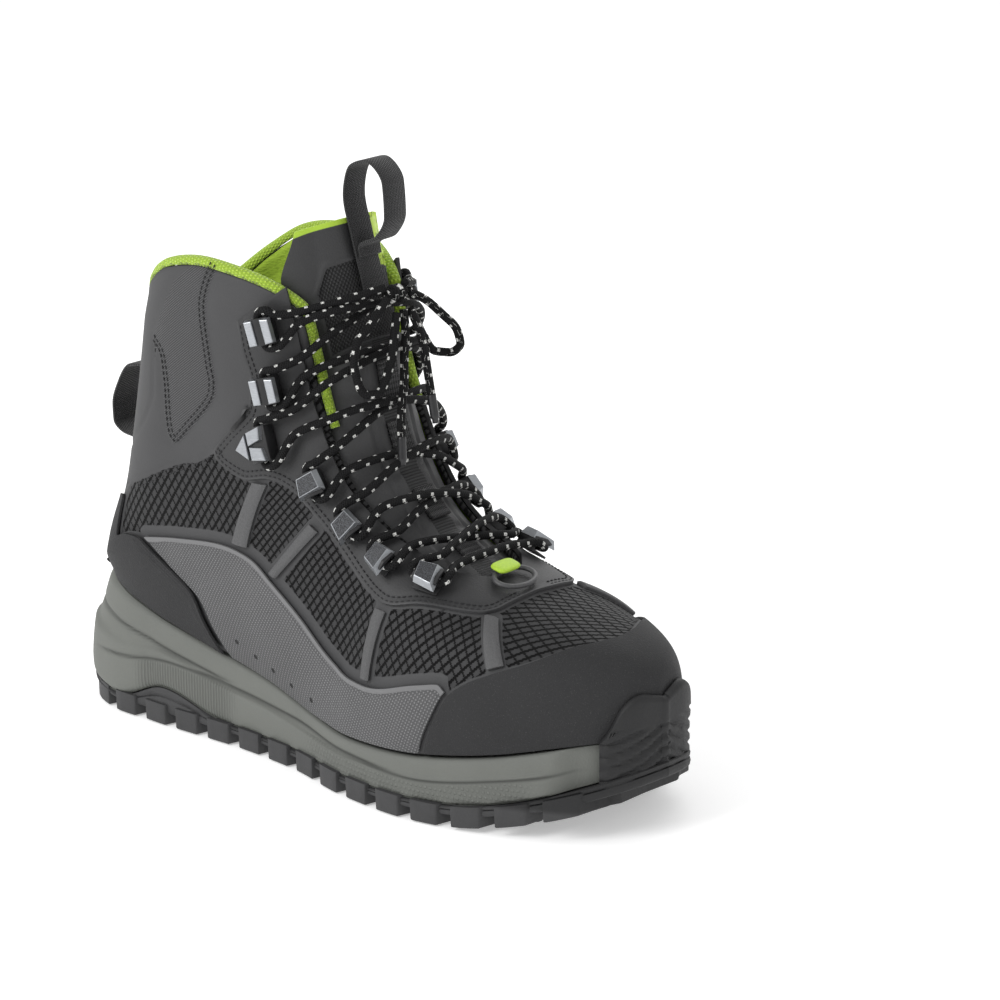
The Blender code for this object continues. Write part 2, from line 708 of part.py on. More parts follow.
def line(table, count):
    """Points evenly spaced along a line of (run, rise) rows."""
    rows = np.array(table, float)
    length = np.r_[0, np.cumsum(np.hypot(*np.diff(rows, axis=0).T))]
    wanted = np.linspace(0, length[-1], count)
    return np.c_[np.interp(wanted, length, rows[:, 0]), np.interp(wanted, length, rows[:, 1])]


def patch(bottom, top, left, right, columns, rows):
    """Run and rise over a four-sided area; bottom and top run from left to right."""
    low = line(bottom, columns)
    high = line(top, columns)
    start = line(left, rows)
    end = line(right, rows)
    u = np.linspace(0, 1, columns)[None, :, None]
    v = np.linspace(0, 1, rows)[:, None, None]
    area = (1 - v) * low[None] + v * high[None] + (1 - u) * start[:, None] + u * end[:, None]
    area -= ((1 - u) * (1 - v) * low[0] + u * (1 - v) * low[-1]
             + (1 - u) * v * high[0] + u * v * high[-1])
    return area[..., 0], area[..., 1]


def upper_runs():
    """Runs of the mesh's rows: close at the toe, on the throat's foot and at the heel's corner."""
    toe = np.array([0.0, 0.006, 0.016, 0.032, 0.054, 0.082])
    vamp = np.linspace(0.115, THROAT_FOOT, 7)
    throat = np.linspace(THROAT_FOOT, 0.66, 9)[1:]
    heel = np.array([0.690, 0.715, 0.737, 0.757, 0.774, 0.789, HEEL_CORNER])
    return np.r_[toe, vamp, throat, heel]


def wall_thickness(run, rise):
    """Wall of the upper: plain in the foot, padded from the ankle up."""
    pad = np.clip((run - 0.64) / 0.14, 0, 1) * np.clip((rise - 0.02 + (run - 0.8) * 6) / 0.2, 0, 1)
    return UPPER_WALL + (CUFF_WALL - UPPER_WALL) * pad


COLLAR_STEPS = (0.045, 0.12, 0.24, 0.40, 0.60, 0.80, 1.0)


def upper_grid(side):
    """Run and rise of the upper's mesh on one side, from the toe to the collar's edge."""
    shares = np.linspace(0, 1, UPPER_COLUMNS) ** 0.9
    rows = [np.c_[np.full(len(shares), run), shares * throat_rise(run, side)]
            for run in upper_runs()]
    for step in COLLAR_STEPS:
        row = []
        for share in shares:
            end = collar_run(share * throat_rise(0.9, side), side)
            run = HEEL_CORNER + (end - HEEL_CORNER) * step
            row.append((run, share * throat_rise(run, side)))
        rows.append(np.array(row))
    grid = np.array(rows)
    return side, grid[..., 0], grid[..., 1]


def make_upper(cloth):
    grids = [upper_grid(side) for side in (LATERAL, MEDIAL)]
    return shell("upper", grids, lambda run, rise: 0 * run,
                 lambda run, rise: -wall_thickness(run, rise), cloth)


def laid_over(name, areas, finish, thick=OVERLAY, gap=OVERLAY_GAP):
    """An overlay that covers areas of the upper."""
    return shell(name, areas, lambda run, rise: gap + thick + 0 * run,
                 lambda run, rise: gap + 0 * run, finish)


# Edges of the overlays, as rows of run and rise over one side of the upper.
CAP_BACK = ((0.350, 0.012), (0.344, 0.080), (0.331, 0.186), (0.316, 0.290))
CAP_TOP = ((0.316, 0.290), (0.295, 0.351), (0.262, 0.416), (0.214, 0.518), (0.176, 0.680),
           (0.151, 0.840), (0.142, 1.000))
RIB = ((0.323, 0.300), (0.335, 0.325), (0.362, 0.307), (0.455, 0.237), (0.478, 0.238),
       (0.572, 0.326), (0.622, 0.364), (0.652, 0.382), (0.667, 0.376), (0.752, 0.240))
COUNTER_FRONT = ((0.640, 0.012), (0.661, 0.092), (0.685, 0.162), (0.725, 0.196), (0.757, 0.232))
COUNTER_TOP = ((0.757, 0.232), (0.800, 0.236), (0.833, 0.228), (0.852, 0.120), (0.858, 0.000))
STRUTS = (
    (((0.682, 0.380), (0.665, 0.400)), ((0.712, 0.560), (0.695, 0.585))),
    (((0.632, 0.385), (0.622, 0.385)), ((0.622, 0.600), (0.606, 0.600))),
    (((0.462, 0.262), (0.446, 0.262)), ((0.476, 0.525), (0.456, 0.528))),
    (((0.272, 0.430), (0.250, 0.470)), ((0.321, 0.690), (0.300, 0.700))),
)
EYESTAY_EDGE = ((0.310, 1.000), (0.309, 0.900), (0.312, 0.768), (0.322, 0.709), (0.413, 0.611),
                (0.468, 0.554), (0.499, 0.565), (0.559, 0.609), (0.615, 0.631), (0.652, 0.635),
                (0.679, 0.623), (0.700, 0.600), (0.729, 0.547), (0.745, 0.545), (0.783, 0.568),
                (0.799, 0.605), (0.812, 0.685), (0.845, 0.686), (0.899, 0.661), (0.936, 0.649))
EYESTAY_REACH = 0.945       # run at which the eyestay ends below the collar
STEP_BACK = 0.016           # rise left free beside the throat's edge


def make_toe_cap(leather):
    areas = []
    for side in (LATERAL, MEDIAL):
        runs = np.array([0.0, 0.006, 0.016, 0.032, 0.054, 0.082, 0.112, 0.142])
        rises = np.linspace(0.010, 1.0, 9)
        areas.append((side, *np.meshgrid(runs, rises, indexing="ij")))
        back = np.array([(0.142, rise) for rise in rises])
        edge = line(CAP_BACK + CAP_TOP[1:], 9)
        shares = np.linspace(0, 1, 6)[:, None, None]
        rest = back[None] * (1 - shares) + edge[None] * shares
        areas.append((side, rest[..., 0], rest[..., 1]))
    return laid_over("toe_cap", areas, leather)


def make_counter(leather):
    areas = []
    for side in (LATERAL, MEDIAL):
        bottom = ((0.640, 0.014), (0.700, 0.022), (0.785, 0.034), (0.802, 0.030), (0.811, 0.000))
        right = ((0.811, 0.000), (0.858, 0.000))
        areas.append((side, *patch(bottom, COUNTER_TOP, COUNTER_FRONT, right, 13, 5)))
    return laid_over("heel_counter", areas, leather, gap=2 * OVERLAY_GAP)


def make_side_frame(side, film):
    """The lower quarter with its rib, and the struts between the windows."""
    name = "side_frame_outer" if side == LATERAL else "side_frame_inner"
    bottom = ((0.358, 0.012), (0.632, 0.012))
    left = ((0.358, 0.012), (0.352, 0.080), (0.339, 0.186), (0.325, 0.290), (0.323, 0.300))
    right = tuple((run - 0.008, rise) for run, rise in COUNTER_FRONT[:-1]) + ((0.752, 0.240),)
    panel = [(side, *patch(bottom, RIB, left, right, 20, 5))]
    return laid_over(name, panel, film)


def make_strut(side, index, film):
    """A raised bar between two windows, from the rib to the eyestay."""
    (low_a, low_b), (high_a, high_b) = STRUTS[index]
    run, rise = patch((low_a, low_b), (high_a, high_b), (low_a, high_a), (low_b, high_b), 2, 6)
    name = "strut_%s_%d" % ("outer" if side == LATERAL else "inner", index + 1)
    return laid_over(name, [(side, run, rise)], film)


def eyestay_inner(side, count):
    """The eyestay's edge beside the throat, from the front centre up."""
    foot = THROAT_FOOT - 0.010
    runs = np.r_[foot, foot + 0.001, np.linspace(foot + 0.004, EYESTAY_REACH, 30)]
    edge = [min(0.93, throat_rise(max(run, THROAT_FOOT + 0.001), side)) for run in runs[2:]]
    rises = [1.0, 0.97] + [rise - STEP_BACK for rise in edge]
    return line(np.c_[runs, rises], count)


def make_eyestay(film):
    areas = []
    for side in (LATERAL, MEDIAL):
        edge = line(EYESTAY_EDGE, 28)
        inner = eyestay_inner(side, 28)
        v = np.linspace(0, 1, 4)[:, None, None]
        area = (1 - v) * edge[None] + v * inner[None]
        areas.append((side, area[..., 0], area[..., 1]))
    return laid_over("eyestay", areas, film)


COLLAR_EDGE_FOOT = 0.690    # run at which the knit edge ends beside the throat
# The knit edge's section: share of the wall inwards from its face, and height over the rim.
RIM_SECTION = ((0.0, 0.0), (0.0, 0.0022), (-0.25, 0.0034), (-0.60, 0.0034), (-1.02, 0.0022), (-1.02, 0.0))


def edge_path(side):
    """Run and rise along the upper's rim, from the back's middle to down the throat."""
    _, run, rise = upper_grid(side)
    along = [(run[-1, k], rise[-1, k]) for k in range(UPPER_COLUMNS)]
    down = [(run[k, -1], rise[k, -1]) for k in range(len(run) - 2, 0, -1)]
    return np.array(along + [row for row in down if row[0] > COLLAR_EDGE_FOOT])


def make_collar_edge(knit):
    """Knit edge that stands on the collar's rim and runs down beside the throat."""
    sides = {}
    for side in (LATERAL, MEDIAL):
        path = edge_path(side)
        if side == MEDIAL:
            path = path[1:]
        sides[side] = (path, on_upper(path[:, 0], path[:, 1], side),
                       on_upper(path[:, 0], path[:, 1], side, 1.0))
    path = np.r_[sides[LATERAL][0][::-1], sides[MEDIAL][0]]
    edge = np.r_[sides[LATERAL][1][::-1], sides[MEDIAL][1]]
    out = np.r_[sides[LATERAL][2][::-1], sides[MEDIAL][2]] - edge
    run_on = np.gradient(edge, axis=0)
    run_on /= np.linalg.norm(run_on, axis=1)[:, None]
    away = np.cross(out, run_on)
    away /= np.linalg.norm(away, axis=1)[:, None]
    if away[len(away) // 2, 2] < 0:
        away = -away
    wall = wall_thickness(path[:, 0], path[:, 1])
    rings = []
    for k in range(len(edge)):
        ring = []
        for across, up in RIM_SECTION:
            ring.append(edge[k] + out[k] * across * wall[k] + away[k] * (GAP + up))
        rings.append(np.array(ring))
    return loft("collar_edge", rings, knit)


# The tongue, as rows of its run, half width (share of BALL_WIDTH) and its middle's lift.
TONGUE = (
    ("run", "half", "lift"),
    (0.350, 0.150, -0.0034),
    (0.400, 0.235, -0.0034),
    (0.500, 0.300, -0.0026),
    (0.620, 0.355, -0.0022),
    (0.760, 0.375, -0.0020),
    (0.880, 0.380, -0.0020),
    (0.950, 0.350, -0.0016),
    (0.985, 0.240, -0.0012),
)


def tongue_lift(run, rise):
    """The tongue's outer face: under the upper's wall at its sides, higher in the middle."""
    middle = smooth(column(TONGUE, "run"), column(TONGUE, "lift"), run)
    edge = -(wall_thickness(run, 0.8 + 0 * run) + 0.0012)
    inward = np.clip((rise - 0.86) / 0.10, 0, 1)
    inward = inward * inward * (3 - 2 * inward)
    open_throat = np.clip((run - 0.392) / 0.03, 0, 1)
    return edge + (middle - edge) * inward * open_throat


def make_tongue(cloth):
    areas = []
    runs = np.r_[np.linspace(0.350, 0.42, 3), np.linspace(0.42, 0.985, 12)[1:]]
    for side in (LATERAL, MEDIAL):
        rows = []
        for run in runs:
            half = float(smooth(column(TONGUE, "run"), column(TONGUE, "half"), run)) * BALL_WIDTH
            low = 1 - half / girth(run, side)
            rows.append(np.c_[np.full(5, run), np.linspace(low, 1, 5)])
        grid = np.array(rows)
        areas.append((side, grid[..., 0], grid[..., 1]))
    return shell("tongue", areas, tongue_lift, lambda run, rise: tongue_lift(run, rise) - TONGUE_WALL, cloth)


def ribbon(name, path, width, finish, wall=WEBBING_WALL):
    """Webbing along a path in the boot's middle plane, given as rows of x and z."""
    path = np.asarray(path, float)
    run_on = np.gradient(path, axis=0)
    run_on /= np.linalg.norm(run_on, axis=1)[:, None]
    side_on = np.c_[-run_on[:, 1], run_on[:, 0]]
    rings = []
    for point, out in zip(path, side_on):
        near = point - out * wall / 2
        far = point + out * wall / 2
        rings.append(np.array([(near[0], -width / 2, near[1]), (near[0], width / 2, near[1]),
                               (far[0], width / 2, far[1]), (far[0], -width / 2, far[1])]))
    return loft(name, rings, finish)


def curve(rows, count):
    """Smooth line through rows of points, evenly resampled."""
    rows = np.asarray(rows, float)
    length = np.r_[0, np.cumsum(np.linalg.norm(np.diff(rows, axis=0), axis=1))]
    wanted = np.linspace(0, length[-1], count)
    return np.array([smooth(length, rows[:, k], wanted) for k in range(rows.shape[1])]).T


HEEL_LOOP_WIDTH = 0.020
# Runs where the webbing loops are sewn to what carries them.
HEEL_LOOP_RUNS = (0.901, 0.955, 0.962)
TONGUE_LOOP_RUNS = (0.945, 0.958, 0.972)
# How the loops stand off, as rows of x and z from the sewn end that they leave.
HEEL_LOOP_BOW = ((-0.0075, 0.0), (-0.0165, -0.0012), (-0.0235, -0.0100), (-0.0272, -0.0205),
                 (-0.0268, -0.0278), (-0.0203, -0.0322))
TONGUE_LOOP_BOW = ((-0.004, 0.016), (-0.001, 0.028), (0.009, 0.032), (0.018, 0.024), (0.019, 0.010),
                   (0.014, 0.001))


def make_heel_loop(webbing):
    low, top, end = (on_upper(run, 0.0, LATERAL, GAP + WEBBING_WALL)[[0, 2]] for run in HEEL_LOOP_RUNS)
    rows = [end, top] + [top + step for step in HEEL_LOOP_BOW] + [low]
    return ribbon("heel_loop", curve(rows, 15), HEEL_LOOP_WIDTH, webbing)


def make_tongue_loop(webbing):
    def on_tongue(run, layers):
        lift = float(tongue_lift(run, 1.0)) + layers * (GAP + WEBBING_WALL)
        return on_upper(run, 1.0, LATERAL, lift)[[0, 2]]
    low, middle, high = TONGUE_LOOP_RUNS
    rows = [on_tongue(low, 1), on_tongue(high, 1)] + [on_tongue(high, 1) + step for step in TONGUE_LOOP_BOW]
    rows += [on_tongue(middle, 2.4), on_tongue(low, 2.2)]
    return ribbon("tongue_loop", curve(rows, 20), WEBBING_WIDTH, webbing)


# Hooks in pairs, from the toe up: place on the upper and size.
HOOKS = (
    ("run", "rise", "long"),
    (0.421, 0.700, 0.0112),
    (0.499, 0.676, 0.0102),
    (0.572, 0.690, 0.0102),
    (0.646, 0.700, 0.0102),
    (0.734, 0.672, 0.0150),
    (0.816, 0.752, 0.0115),
    (0.906, 0.738, 0.0115),
)
HOOK_LIFT = 2 * GAP + OVERLAY + 0.0005
# Profile of a hook from the throat side outwards: reach and height.
HOOK_PROFILE = ((0.0042, 0.0), (0.0042, 0.0064), (-0.0012, 0.0078), (-0.0046, 0.0070),
                (-0.0046, 0.0060), (0.0024, 0.0056), (0.0024, 0.0012), (-0.0052, 0.0010), (-0.0052, 0.0))


def hook_frame(index, side):
    """Place, and directions up the throat, outwards from it and off the upper."""
    run, rise = HOOKS[index + 1][:2]
    lift = HOOK_LIFT
    place = on_upper(run, rise, side, lift)
    off = on_upper(run, rise, side, lift + 1.0) - place
    a = on_upper(run - 0.03, throat_rise(run - 0.03, side), side)
    b = on_upper(run + 0.03, throat_rise(run + 0.03, side), side)
    up = b - a
    up -= off * up.dot(off)
    up /= np.linalg.norm(up)
    inward = np.cross(up, off)
    middle = on_upper(run, 1.0, side) - place
    if inward.dot(middle) < 0:
        inward = -inward
    return place, up, inward, off


def make_hook(index, side, metal):
    long = HOOKS[index + 1][2]
    place, up, inward, off = hook_frame(index, side)
    rings = []
    for share in (-1, 1):
        ring = [place + up * share * long / 2 + inward * reach + off * height
                for reach, height in HOOK_PROFILE]
        rings.append(np.array(ring))
    name = "hook_%s_%d" % ("outer" if side == LATERAL else "inner", index + 1)
    return loft(name, rings, metal)


def tube(name, path, radius, finish, sides=8):
    """A round cord along a path."""
    path = np.asarray(path, float)
    run_on = np.gradient(path, axis=0)
    run_on /= np.linalg.norm(run_on, axis=1)[:, None]
    side_on = np.cross(run_on[0], (0.0, 0.0, 1.0))
    side_on /= np.linalg.norm(side_on)
    rings = []
    for point, forward in zip(path, run_on):
        side_on = side_on - forward * side_on.dot(forward)
        side_on /= np.linalg.norm(side_on)
        over = np.cross(forward, side_on)
        angles = 2 * np.pi * np.arange(sides) / sides
        rings.append(np.array([point + radius * (side_on * math.cos(angle) + over * math.sin(angle))
                               for angle in angles]))
    return loft(name, rings, finish)


def over(run, across, lift):
    """Point over the boot's front: across is measured from the ridge, positive on the inner side."""
    side = MEDIAL if across > 0 else LATERAL
    return on_upper(run, 1 - abs(across) / girth(run, side), side, lift)


def hook_across(index, side):
    """Distance over the upper from the ridge to a hook."""
    run, rise = HOOKS[index + 1][:2]
    return side * (1 - rise) * girth(run, side)


# The lace's clearance: it leaves a hook this far towards the throat and this far up or down.
LEAVE_IN = 0.0066
LEAVE_ALONG = 0.011         # in run
LACE_AT_HOOK = 0.0066       # lift of the lace's middle over the upper's form
LACE_ON_TONGUE = 0.0030


def strand(start, end, name, cord):
    """A lace's stretch over the tongue between two hooks, each with its side and a step in run."""
    ends = []
    for index, side, step in (start, end):
        across = hook_across(index, side)
        ends.append((HOOKS[index + 1][0] + step, across - side * LEAVE_IN))
    rows = []
    for t in np.linspace(0, 1, 7):
        run = ends[0][0] * (1 - t) + ends[1][0] * t
        across = ends[0][1] * (1 - t) + ends[1][1] * t
        lift = LACE_AT_HOOK + (LACE_ON_TONGUE - LACE_AT_HOOK) * math.sin(math.pi * t)
        rows.append(over(run, across, lift))
    return tube(name, rows, LACE_DIAMETER / 2, cord, sides=6)


def make_lace_rows(cord):
    """The bar between the lowest hooks and the crossings above it."""
    strand((0, LATERAL, -LEAVE_ALONG), (0, MEDIAL, -LEAVE_ALONG), "lace_row_1", cord)
    for index in range(len(HOOKS) - 2):
        a = strand((index, LATERAL, LEAVE_ALONG), (index + 1, MEDIAL, -LEAVE_ALONG), "crossing", cord)
        b = strand((index + 1, LATERAL, -LEAVE_ALONG), (index, MEDIAL, LEAVE_ALONG), "crossing", cord)
        unite(a, [b], "lace_row_%d" % (index + 2))


KNOT_RUN = 0.875
KNOT_LIFT = 0.0108
KNOT_SIZE = (0.0105, 0.0078)


def cord_tube(name, rows, radius, cord, count=24):
    """A free stretch of lace: a smooth tube through its points."""
    points = curve(rows, count)
    data = bpy.data.curves.new(name, "CURVE")
    data.dimensions = "3D"
    spline = data.splines.new("POLY")
    spline.points.add(len(points) - 1)
    for at, point in zip(spline.points, points):
        at.co = (*point, 1.0)
    data.bevel_depth = radius
    data.bevel_resolution = 2
    data.use_fill_caps = True
    data.materials.append(cord)
    thing = bpy.data.objects.new(name, data)
    bpy.context.scene.collection.objects.link(thing)
    return thing


# Routes of the bow's loops and ends from the knot, as rows of x, y and z from the knot's middle.
BOW = {
    "lace_loop_inner": ((0.002, 0.0065, 0.000), (0.006, 0.012, -0.004), (0.010, 0.017, -0.010),
                        (0.015, 0.021, -0.017), (0.016, 0.022, -0.023), (0.012, 0.020, -0.027),
                        (0.008, 0.015, -0.026), (0.006, 0.011, -0.020), (0.004, 0.008, -0.012),
                        (0.003, 0.0055, -0.0062)),
    "lace_loop_outer": ((0.003, -0.0075, 0.000), (0.002, -0.012, -0.005), (0.001, -0.017, -0.011),
                        (-0.001, -0.022, -0.017), (-0.001, -0.024, -0.025), (0.001, -0.024, -0.033),
                        (0.004, -0.022, -0.038), (0.006, -0.018, -0.038), (0.007, -0.014, -0.033),
                        (0.007, -0.010, -0.024), (0.006, -0.007, -0.014), (0.005, -0.0045, -0.0064)),
    "lace_end_outer": ((0.005, -0.0005, -0.0058), (0.0065, -0.001, -0.014), (0.0075, -0.003, -0.024),
                       (0.009, -0.005, -0.036), (0.010, -0.008, -0.048), (0.012, -0.010, -0.060)),
    "lace_end_inner": ((0.0060, 0.0030, -0.0070), (0.010, 0.0032, -0.014), (0.0125, 0.004, -0.024),
                       (0.0145, 0.004, -0.034), (0.0165, 0.004, -0.044)),
}


def make_bow(cord):
    knot = over(KNOT_RUN, 0.0, KNOT_LIFT)
    half, thick = KNOT_SIZE
    rows = [knot + np.array([0.0, y, 0.0]) for y in np.linspace(-half / 2, half / 2, 5)]
    cord_tube("lace_knot", rows, thick / 2, cord, 5)
    for name, route in BOW.items():
        cord_tube(name, [knot + np.array(step) for step in route], LACE_DIAMETER / 2, cord,
                  18 if "loop" in name else 11)
    for side, name in ((LATERAL, "lace_top_outer"), (MEDIAL, "lace_top_inner")):
        across = hook_across(len(HOOKS) - 2, side) - side * LEAVE_IN
        start = over(HOOKS[-1][0] + LEAVE_ALONG, across, LACE_AT_HOOK)
        end = knot + np.array([0.0, side * (half / 2 + GAP + LACE_DIAMETER / 2), 0.0035])
        middle = (start + end) / 2 + np.array([0.0030, 0.0, 0.0])
        tube(name, curve([start, middle, end], 7), LACE_DIAMETER / 2, cord, sides=6)


# The lace keeper on the vamp, below the throat.
KEEPER_RUN = 0.343
KEEPER_RISE = 0.965
KEEPER_ACROSS = 0.0205
KEEPER_ALONG = 0.0135
KEEPER_WIRE = 0.0021
TAB_SIZE = (0.0115, 0.0075, 0.0016)


def keeper_frame():
    lift = OVERLAY_GAP + OVERLAY + GAP
    place = on_upper(KEEPER_RUN, KEEPER_RISE, LATERAL, lift)
    off = on_upper(KEEPER_RUN, KEEPER_RISE, LATERAL, lift + 1.0) - place
    along = on_upper(KEEPER_RUN + 0.02, KEEPER_RISE, LATERAL, lift) - place
    along -= off * along.dot(off)
    along /= np.linalg.norm(along)
    return place, along, np.cross(off, along), off


def make_keeper(plastic, lime):
    place, along, across, off = keeper_frame()
    around, sides = 20, 6
    points = []
    for k in range(around):
        angle = 2 * math.pi * k / around
        out = along * math.cos(angle) * KEEPER_ALONG / 2 + across * math.sin(angle) * KEEPER_ACROSS / 2
        centre = place + out + off * (KEEPER_WIRE / 2 + GAP)
        out /= np.linalg.norm(out)
        for j in range(sides):
            turn = 2 * math.pi * j / sides
            points.append(centre + KEEPER_WIRE / 2 * (out * math.cos(turn) + off * math.sin(turn)))
    faces = [(k * sides + j, k * sides + (j + 1) % sides, (k + 1) % around * sides + (j + 1) % sides,
              (k + 1) % around * sides + j) for k in range(around) for j in range(sides)]
    make_object("lace_keeper_ring", points, faces, plastic)
    wide, long, thick = TAB_SIZE
    centre = place + along * KEEPER_ALONG * 0.42 + off * (KEEPER_WIRE + 2 * GAP)
    rings = []
    for height, size in ((0.0, 0.94), (0.5, 1.0), (1.0, 0.86)):
        ring = []
        for k in range(12):
            angle = 2 * math.pi * k / 12
            bulge = (abs(math.cos(angle)) ** 4 + abs(math.sin(angle)) ** 4) ** -0.25
            ring.append(centre + across * math.cos(angle) * bulge * wide / 2 * size
                        + along * math.sin(angle) * bulge * long / 2 * size + off * thick * height)
        rings.append(np.array(ring))
    loft("lace_keeper_tab", rings, lime)


# Webbing keepers on the tongue's middle: first and last run of each.
TONGUE_KEEPERS = ((0.425, 0.470), (0.510, 0.560), (0.605, 0.655), (0.690, 0.755))
TONGUE_KEEPER_WIDTH = 0.0115


def make_tongue_keeper(index, webbing):
    low, high = TONGUE_KEEPERS[index]
    areas = []
    for side in (LATERAL, MEDIAL):
        rows = []
        for run in np.linspace(low, high, 4):
            edge = 1 - TONGUE_KEEPER_WIDTH / 2 / girth(run, side)
            rows.append([(run, edge), (run, 1.0)])
        grid = np.array(rows)
        areas.append((side, grid[..., 0], grid[..., 1]))
    shell("tongue_keeper_%d" % (index + 1), areas,
          lambda run, rise: tongue_lift(run, 1.0) + GAP + WEBBING_WALL,
          lambda run, rise: tongue_lift(run, 1.0) + GAP, webbing)


def main():
    clear_scene()
    rubber = material("outsole_rubber", (0.018, 0.018, 0.018), 0.6)
    foam = material("midsole_foam", (0.20, 0.21, 0.19), 0.65)
    cloth = material("upper_cloth", (0.05, 0.05, 0.05), 0.6)
    lining = material("insole_cloth", (0.03, 0.03, 0.03), 0.8)
    leather = material("cap_leather", (0.035, 0.035, 0.036), 0.7)
    film = material("frame_film", (0.09, 0.09, 0.092), 0.5)
    knit = material("collar_knit", (0.45, 0.62, 0.10), 0.8)
    padding = material("tongue_cloth", (0.03, 0.03, 0.032), 0.75)
    webbing = material("loop_webbing", (0.012, 0.012, 0.013), 0.8)
    metal = material("hook_metal", (0.58, 0.60, 0.64), 0.3, 1.0)
    plastic = material("ring_plastic", (0.12, 0.12, 0.125), 0.45)
    cord = material("lace_cord", (0.01, 0.01, 0.01), 0.8)
    make_outsole(rubber)
    make_midsole(foam)
    make_insole(lining)
    make_upper(cloth)
    make_toe_cap(leather)
    make_counter(leather)
    for side in (LATERAL, MEDIAL):
        make_side_frame(side, film)
        for index in range(len(STRUTS)):
            make_strut(side, index, film)
        for index in range(len(HOOKS) - 1):
            make_hook(index, side, metal)
    make_eyestay(film)
    make_collar_edge(knit)
    make_tongue(padding)
    make_tongue_loop(webbing)
    make_heel_loop(webbing)
    for index in range(len(TONGUE_KEEPERS)):
        make_tongue_keeper(index, webbing)
    make_keeper(plastic, knit)
    make_lace_rows(cord)
    make_bow(cord)


main()
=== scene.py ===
"""Looks of a wading boot for a right foot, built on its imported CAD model.

Metres, +Z up, toe towards +X, outer side towards -Y, floor at z = 0.
"""
import math

import bmesh
import bpy
import numpy as np
from mathutils import Matrix, Vector


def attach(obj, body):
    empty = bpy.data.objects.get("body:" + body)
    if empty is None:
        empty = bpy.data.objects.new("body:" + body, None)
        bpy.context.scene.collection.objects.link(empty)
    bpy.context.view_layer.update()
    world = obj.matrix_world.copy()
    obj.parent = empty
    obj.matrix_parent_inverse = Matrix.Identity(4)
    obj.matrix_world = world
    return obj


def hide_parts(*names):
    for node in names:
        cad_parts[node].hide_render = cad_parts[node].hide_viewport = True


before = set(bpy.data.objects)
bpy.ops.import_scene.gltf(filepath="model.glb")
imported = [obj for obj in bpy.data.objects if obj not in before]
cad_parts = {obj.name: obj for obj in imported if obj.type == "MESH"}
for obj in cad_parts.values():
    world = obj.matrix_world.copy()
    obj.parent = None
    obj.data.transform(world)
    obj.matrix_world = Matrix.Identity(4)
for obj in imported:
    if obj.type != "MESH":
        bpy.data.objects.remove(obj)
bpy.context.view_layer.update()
LATERAL, MEDIAL = -1, 1

# Outsole: black nitrile rubber, moulded in one piece with its lugs and with a wall that turns
# up over the toe, and cemented under the midsole. Threaded seats for studs sit in every other
# edge lug.
LENGTH = 0.310              # heel back to toe guard, at the tread
BALL_WIDTH = 0.111          # tread width at the ball
HEEL_WIDTH = 0.079          # tread width at the heel
ORIGIN_X = 0.0042           # from the middle of the tread to the middle of the whole boot
COLLAR_HEIGHT = 0.211       # floor to the highest point of the cuff's side
INSTEP_HEIGHT = 0.091       # floor to the vamp's ridge at the foot of the throat
HEEL_STACK = 0.057          # floor to the midsole's top edge at the heel's back
BALL_STACK = 0.0245         # floor to the midsole's top edge beside the ball
TOE_STACK = 0.043           # floor to the midsole's top edge at the toe
HEEL_SWEEP = 0.0080         # how far the sole stands out behind the heel's top edge
TOE_SPRING = 0.020          # tread's lift at the tip of the toe
LUG_DEPTH = 0.0046          # height of a tread lug
TOE_GUARD = 0.0028          # rubber wall in front of the toe
OVERLAY = 0.0011            # moulded film and leather laid over the upper
GAP = 0.0005                # between neighbouring pieces


def smooth(xs, ys, x):
    """Value at x of the smooth curve through the points, with no overshoot between them."""
    xs = np.asarray(xs, float)
    ys = np.asarray(ys, float)
    step = np.diff(xs)
    rise = np.diff(ys) / step
    slope = np.zeros(len(xs))
    same = rise[:-1] * rise[1:] > 0
    w1 = 2 * step[1:] + step[:-1]
    w2 = step[1:] + 2 * step[:-1]
    both = (w1 + w2)[same] / (w1[same] / rise[:-1][same] + w2[same] / rise[1:][same])
    slope[1:-1][same] = both
    slope[0] = rise[0]
    slope[-1] = rise[-1]
    x = np.clip(x, xs[0], xs[-1])
    i = np.clip(np.searchsorted(xs, x, side="right") - 1, 0, len(xs) - 2)
    t = (x - xs[i]) / step[i]
    a = (1 + 2 * t) * (1 - t) ** 2 * ys[i] + t * (1 - t) ** 2 * step[i] * slope[i]
    b = t * t * (3 - 2 * t) * ys[i + 1] + t * t * (t - 1) * step[i] * slope[i + 1]
    return a + b


def column(table, name):
    """One named column of a table whose first row holds the names."""
    at = table[0].index(name)
    return [row[at] for row in table[1:]]


def look_up(table, name, at):
    """Value of a table's named column at a place in its first column."""
    return smooth(column(table, table[0][0]), column(table, name), at)


# The tread's outline: along is a share of LENGTH from the heel's back, and the half widths
# are shares of BALL_WIDTH, or of HEEL_WIDTH for the rows behind the waist.
TREAD = (
    ("along", "outer", "inner", "follows"),
    (0.000, 0.000, 0.000, "heel"),
    (0.006, 0.130, 0.130, "heel"),
    (0.020, 0.232, 0.232, "heel"),
    (0.060, 0.372, 0.375, "heel"),
    (0.120, 0.462, 0.472, "heel"),
    (0.200, 0.494, 0.508, "heel"),
    (0.320, 0.490, 0.460, "heel"),
    (0.450, 0.382, 0.300, "ball"),
    (0.580, 0.476, 0.382, "ball"),
    (0.680, 0.504, 0.476, "ball"),
    (0.780, 0.462, 0.5035, "ball"),
    (0.860, 0.388, 0.440, "ball"),
    (0.920, 0.306, 0.350, "ball"),
    (0.965, 0.212, 0.240, "ball"),
    (0.990, 0.118, 0.130, "ball"),
    (1.000, 0.000, 0.000, "ball"),
)
RING_POINTS = 50
HEEL_SWEEP_END = 0.16       # share of LENGTH where the heel's sweep starts


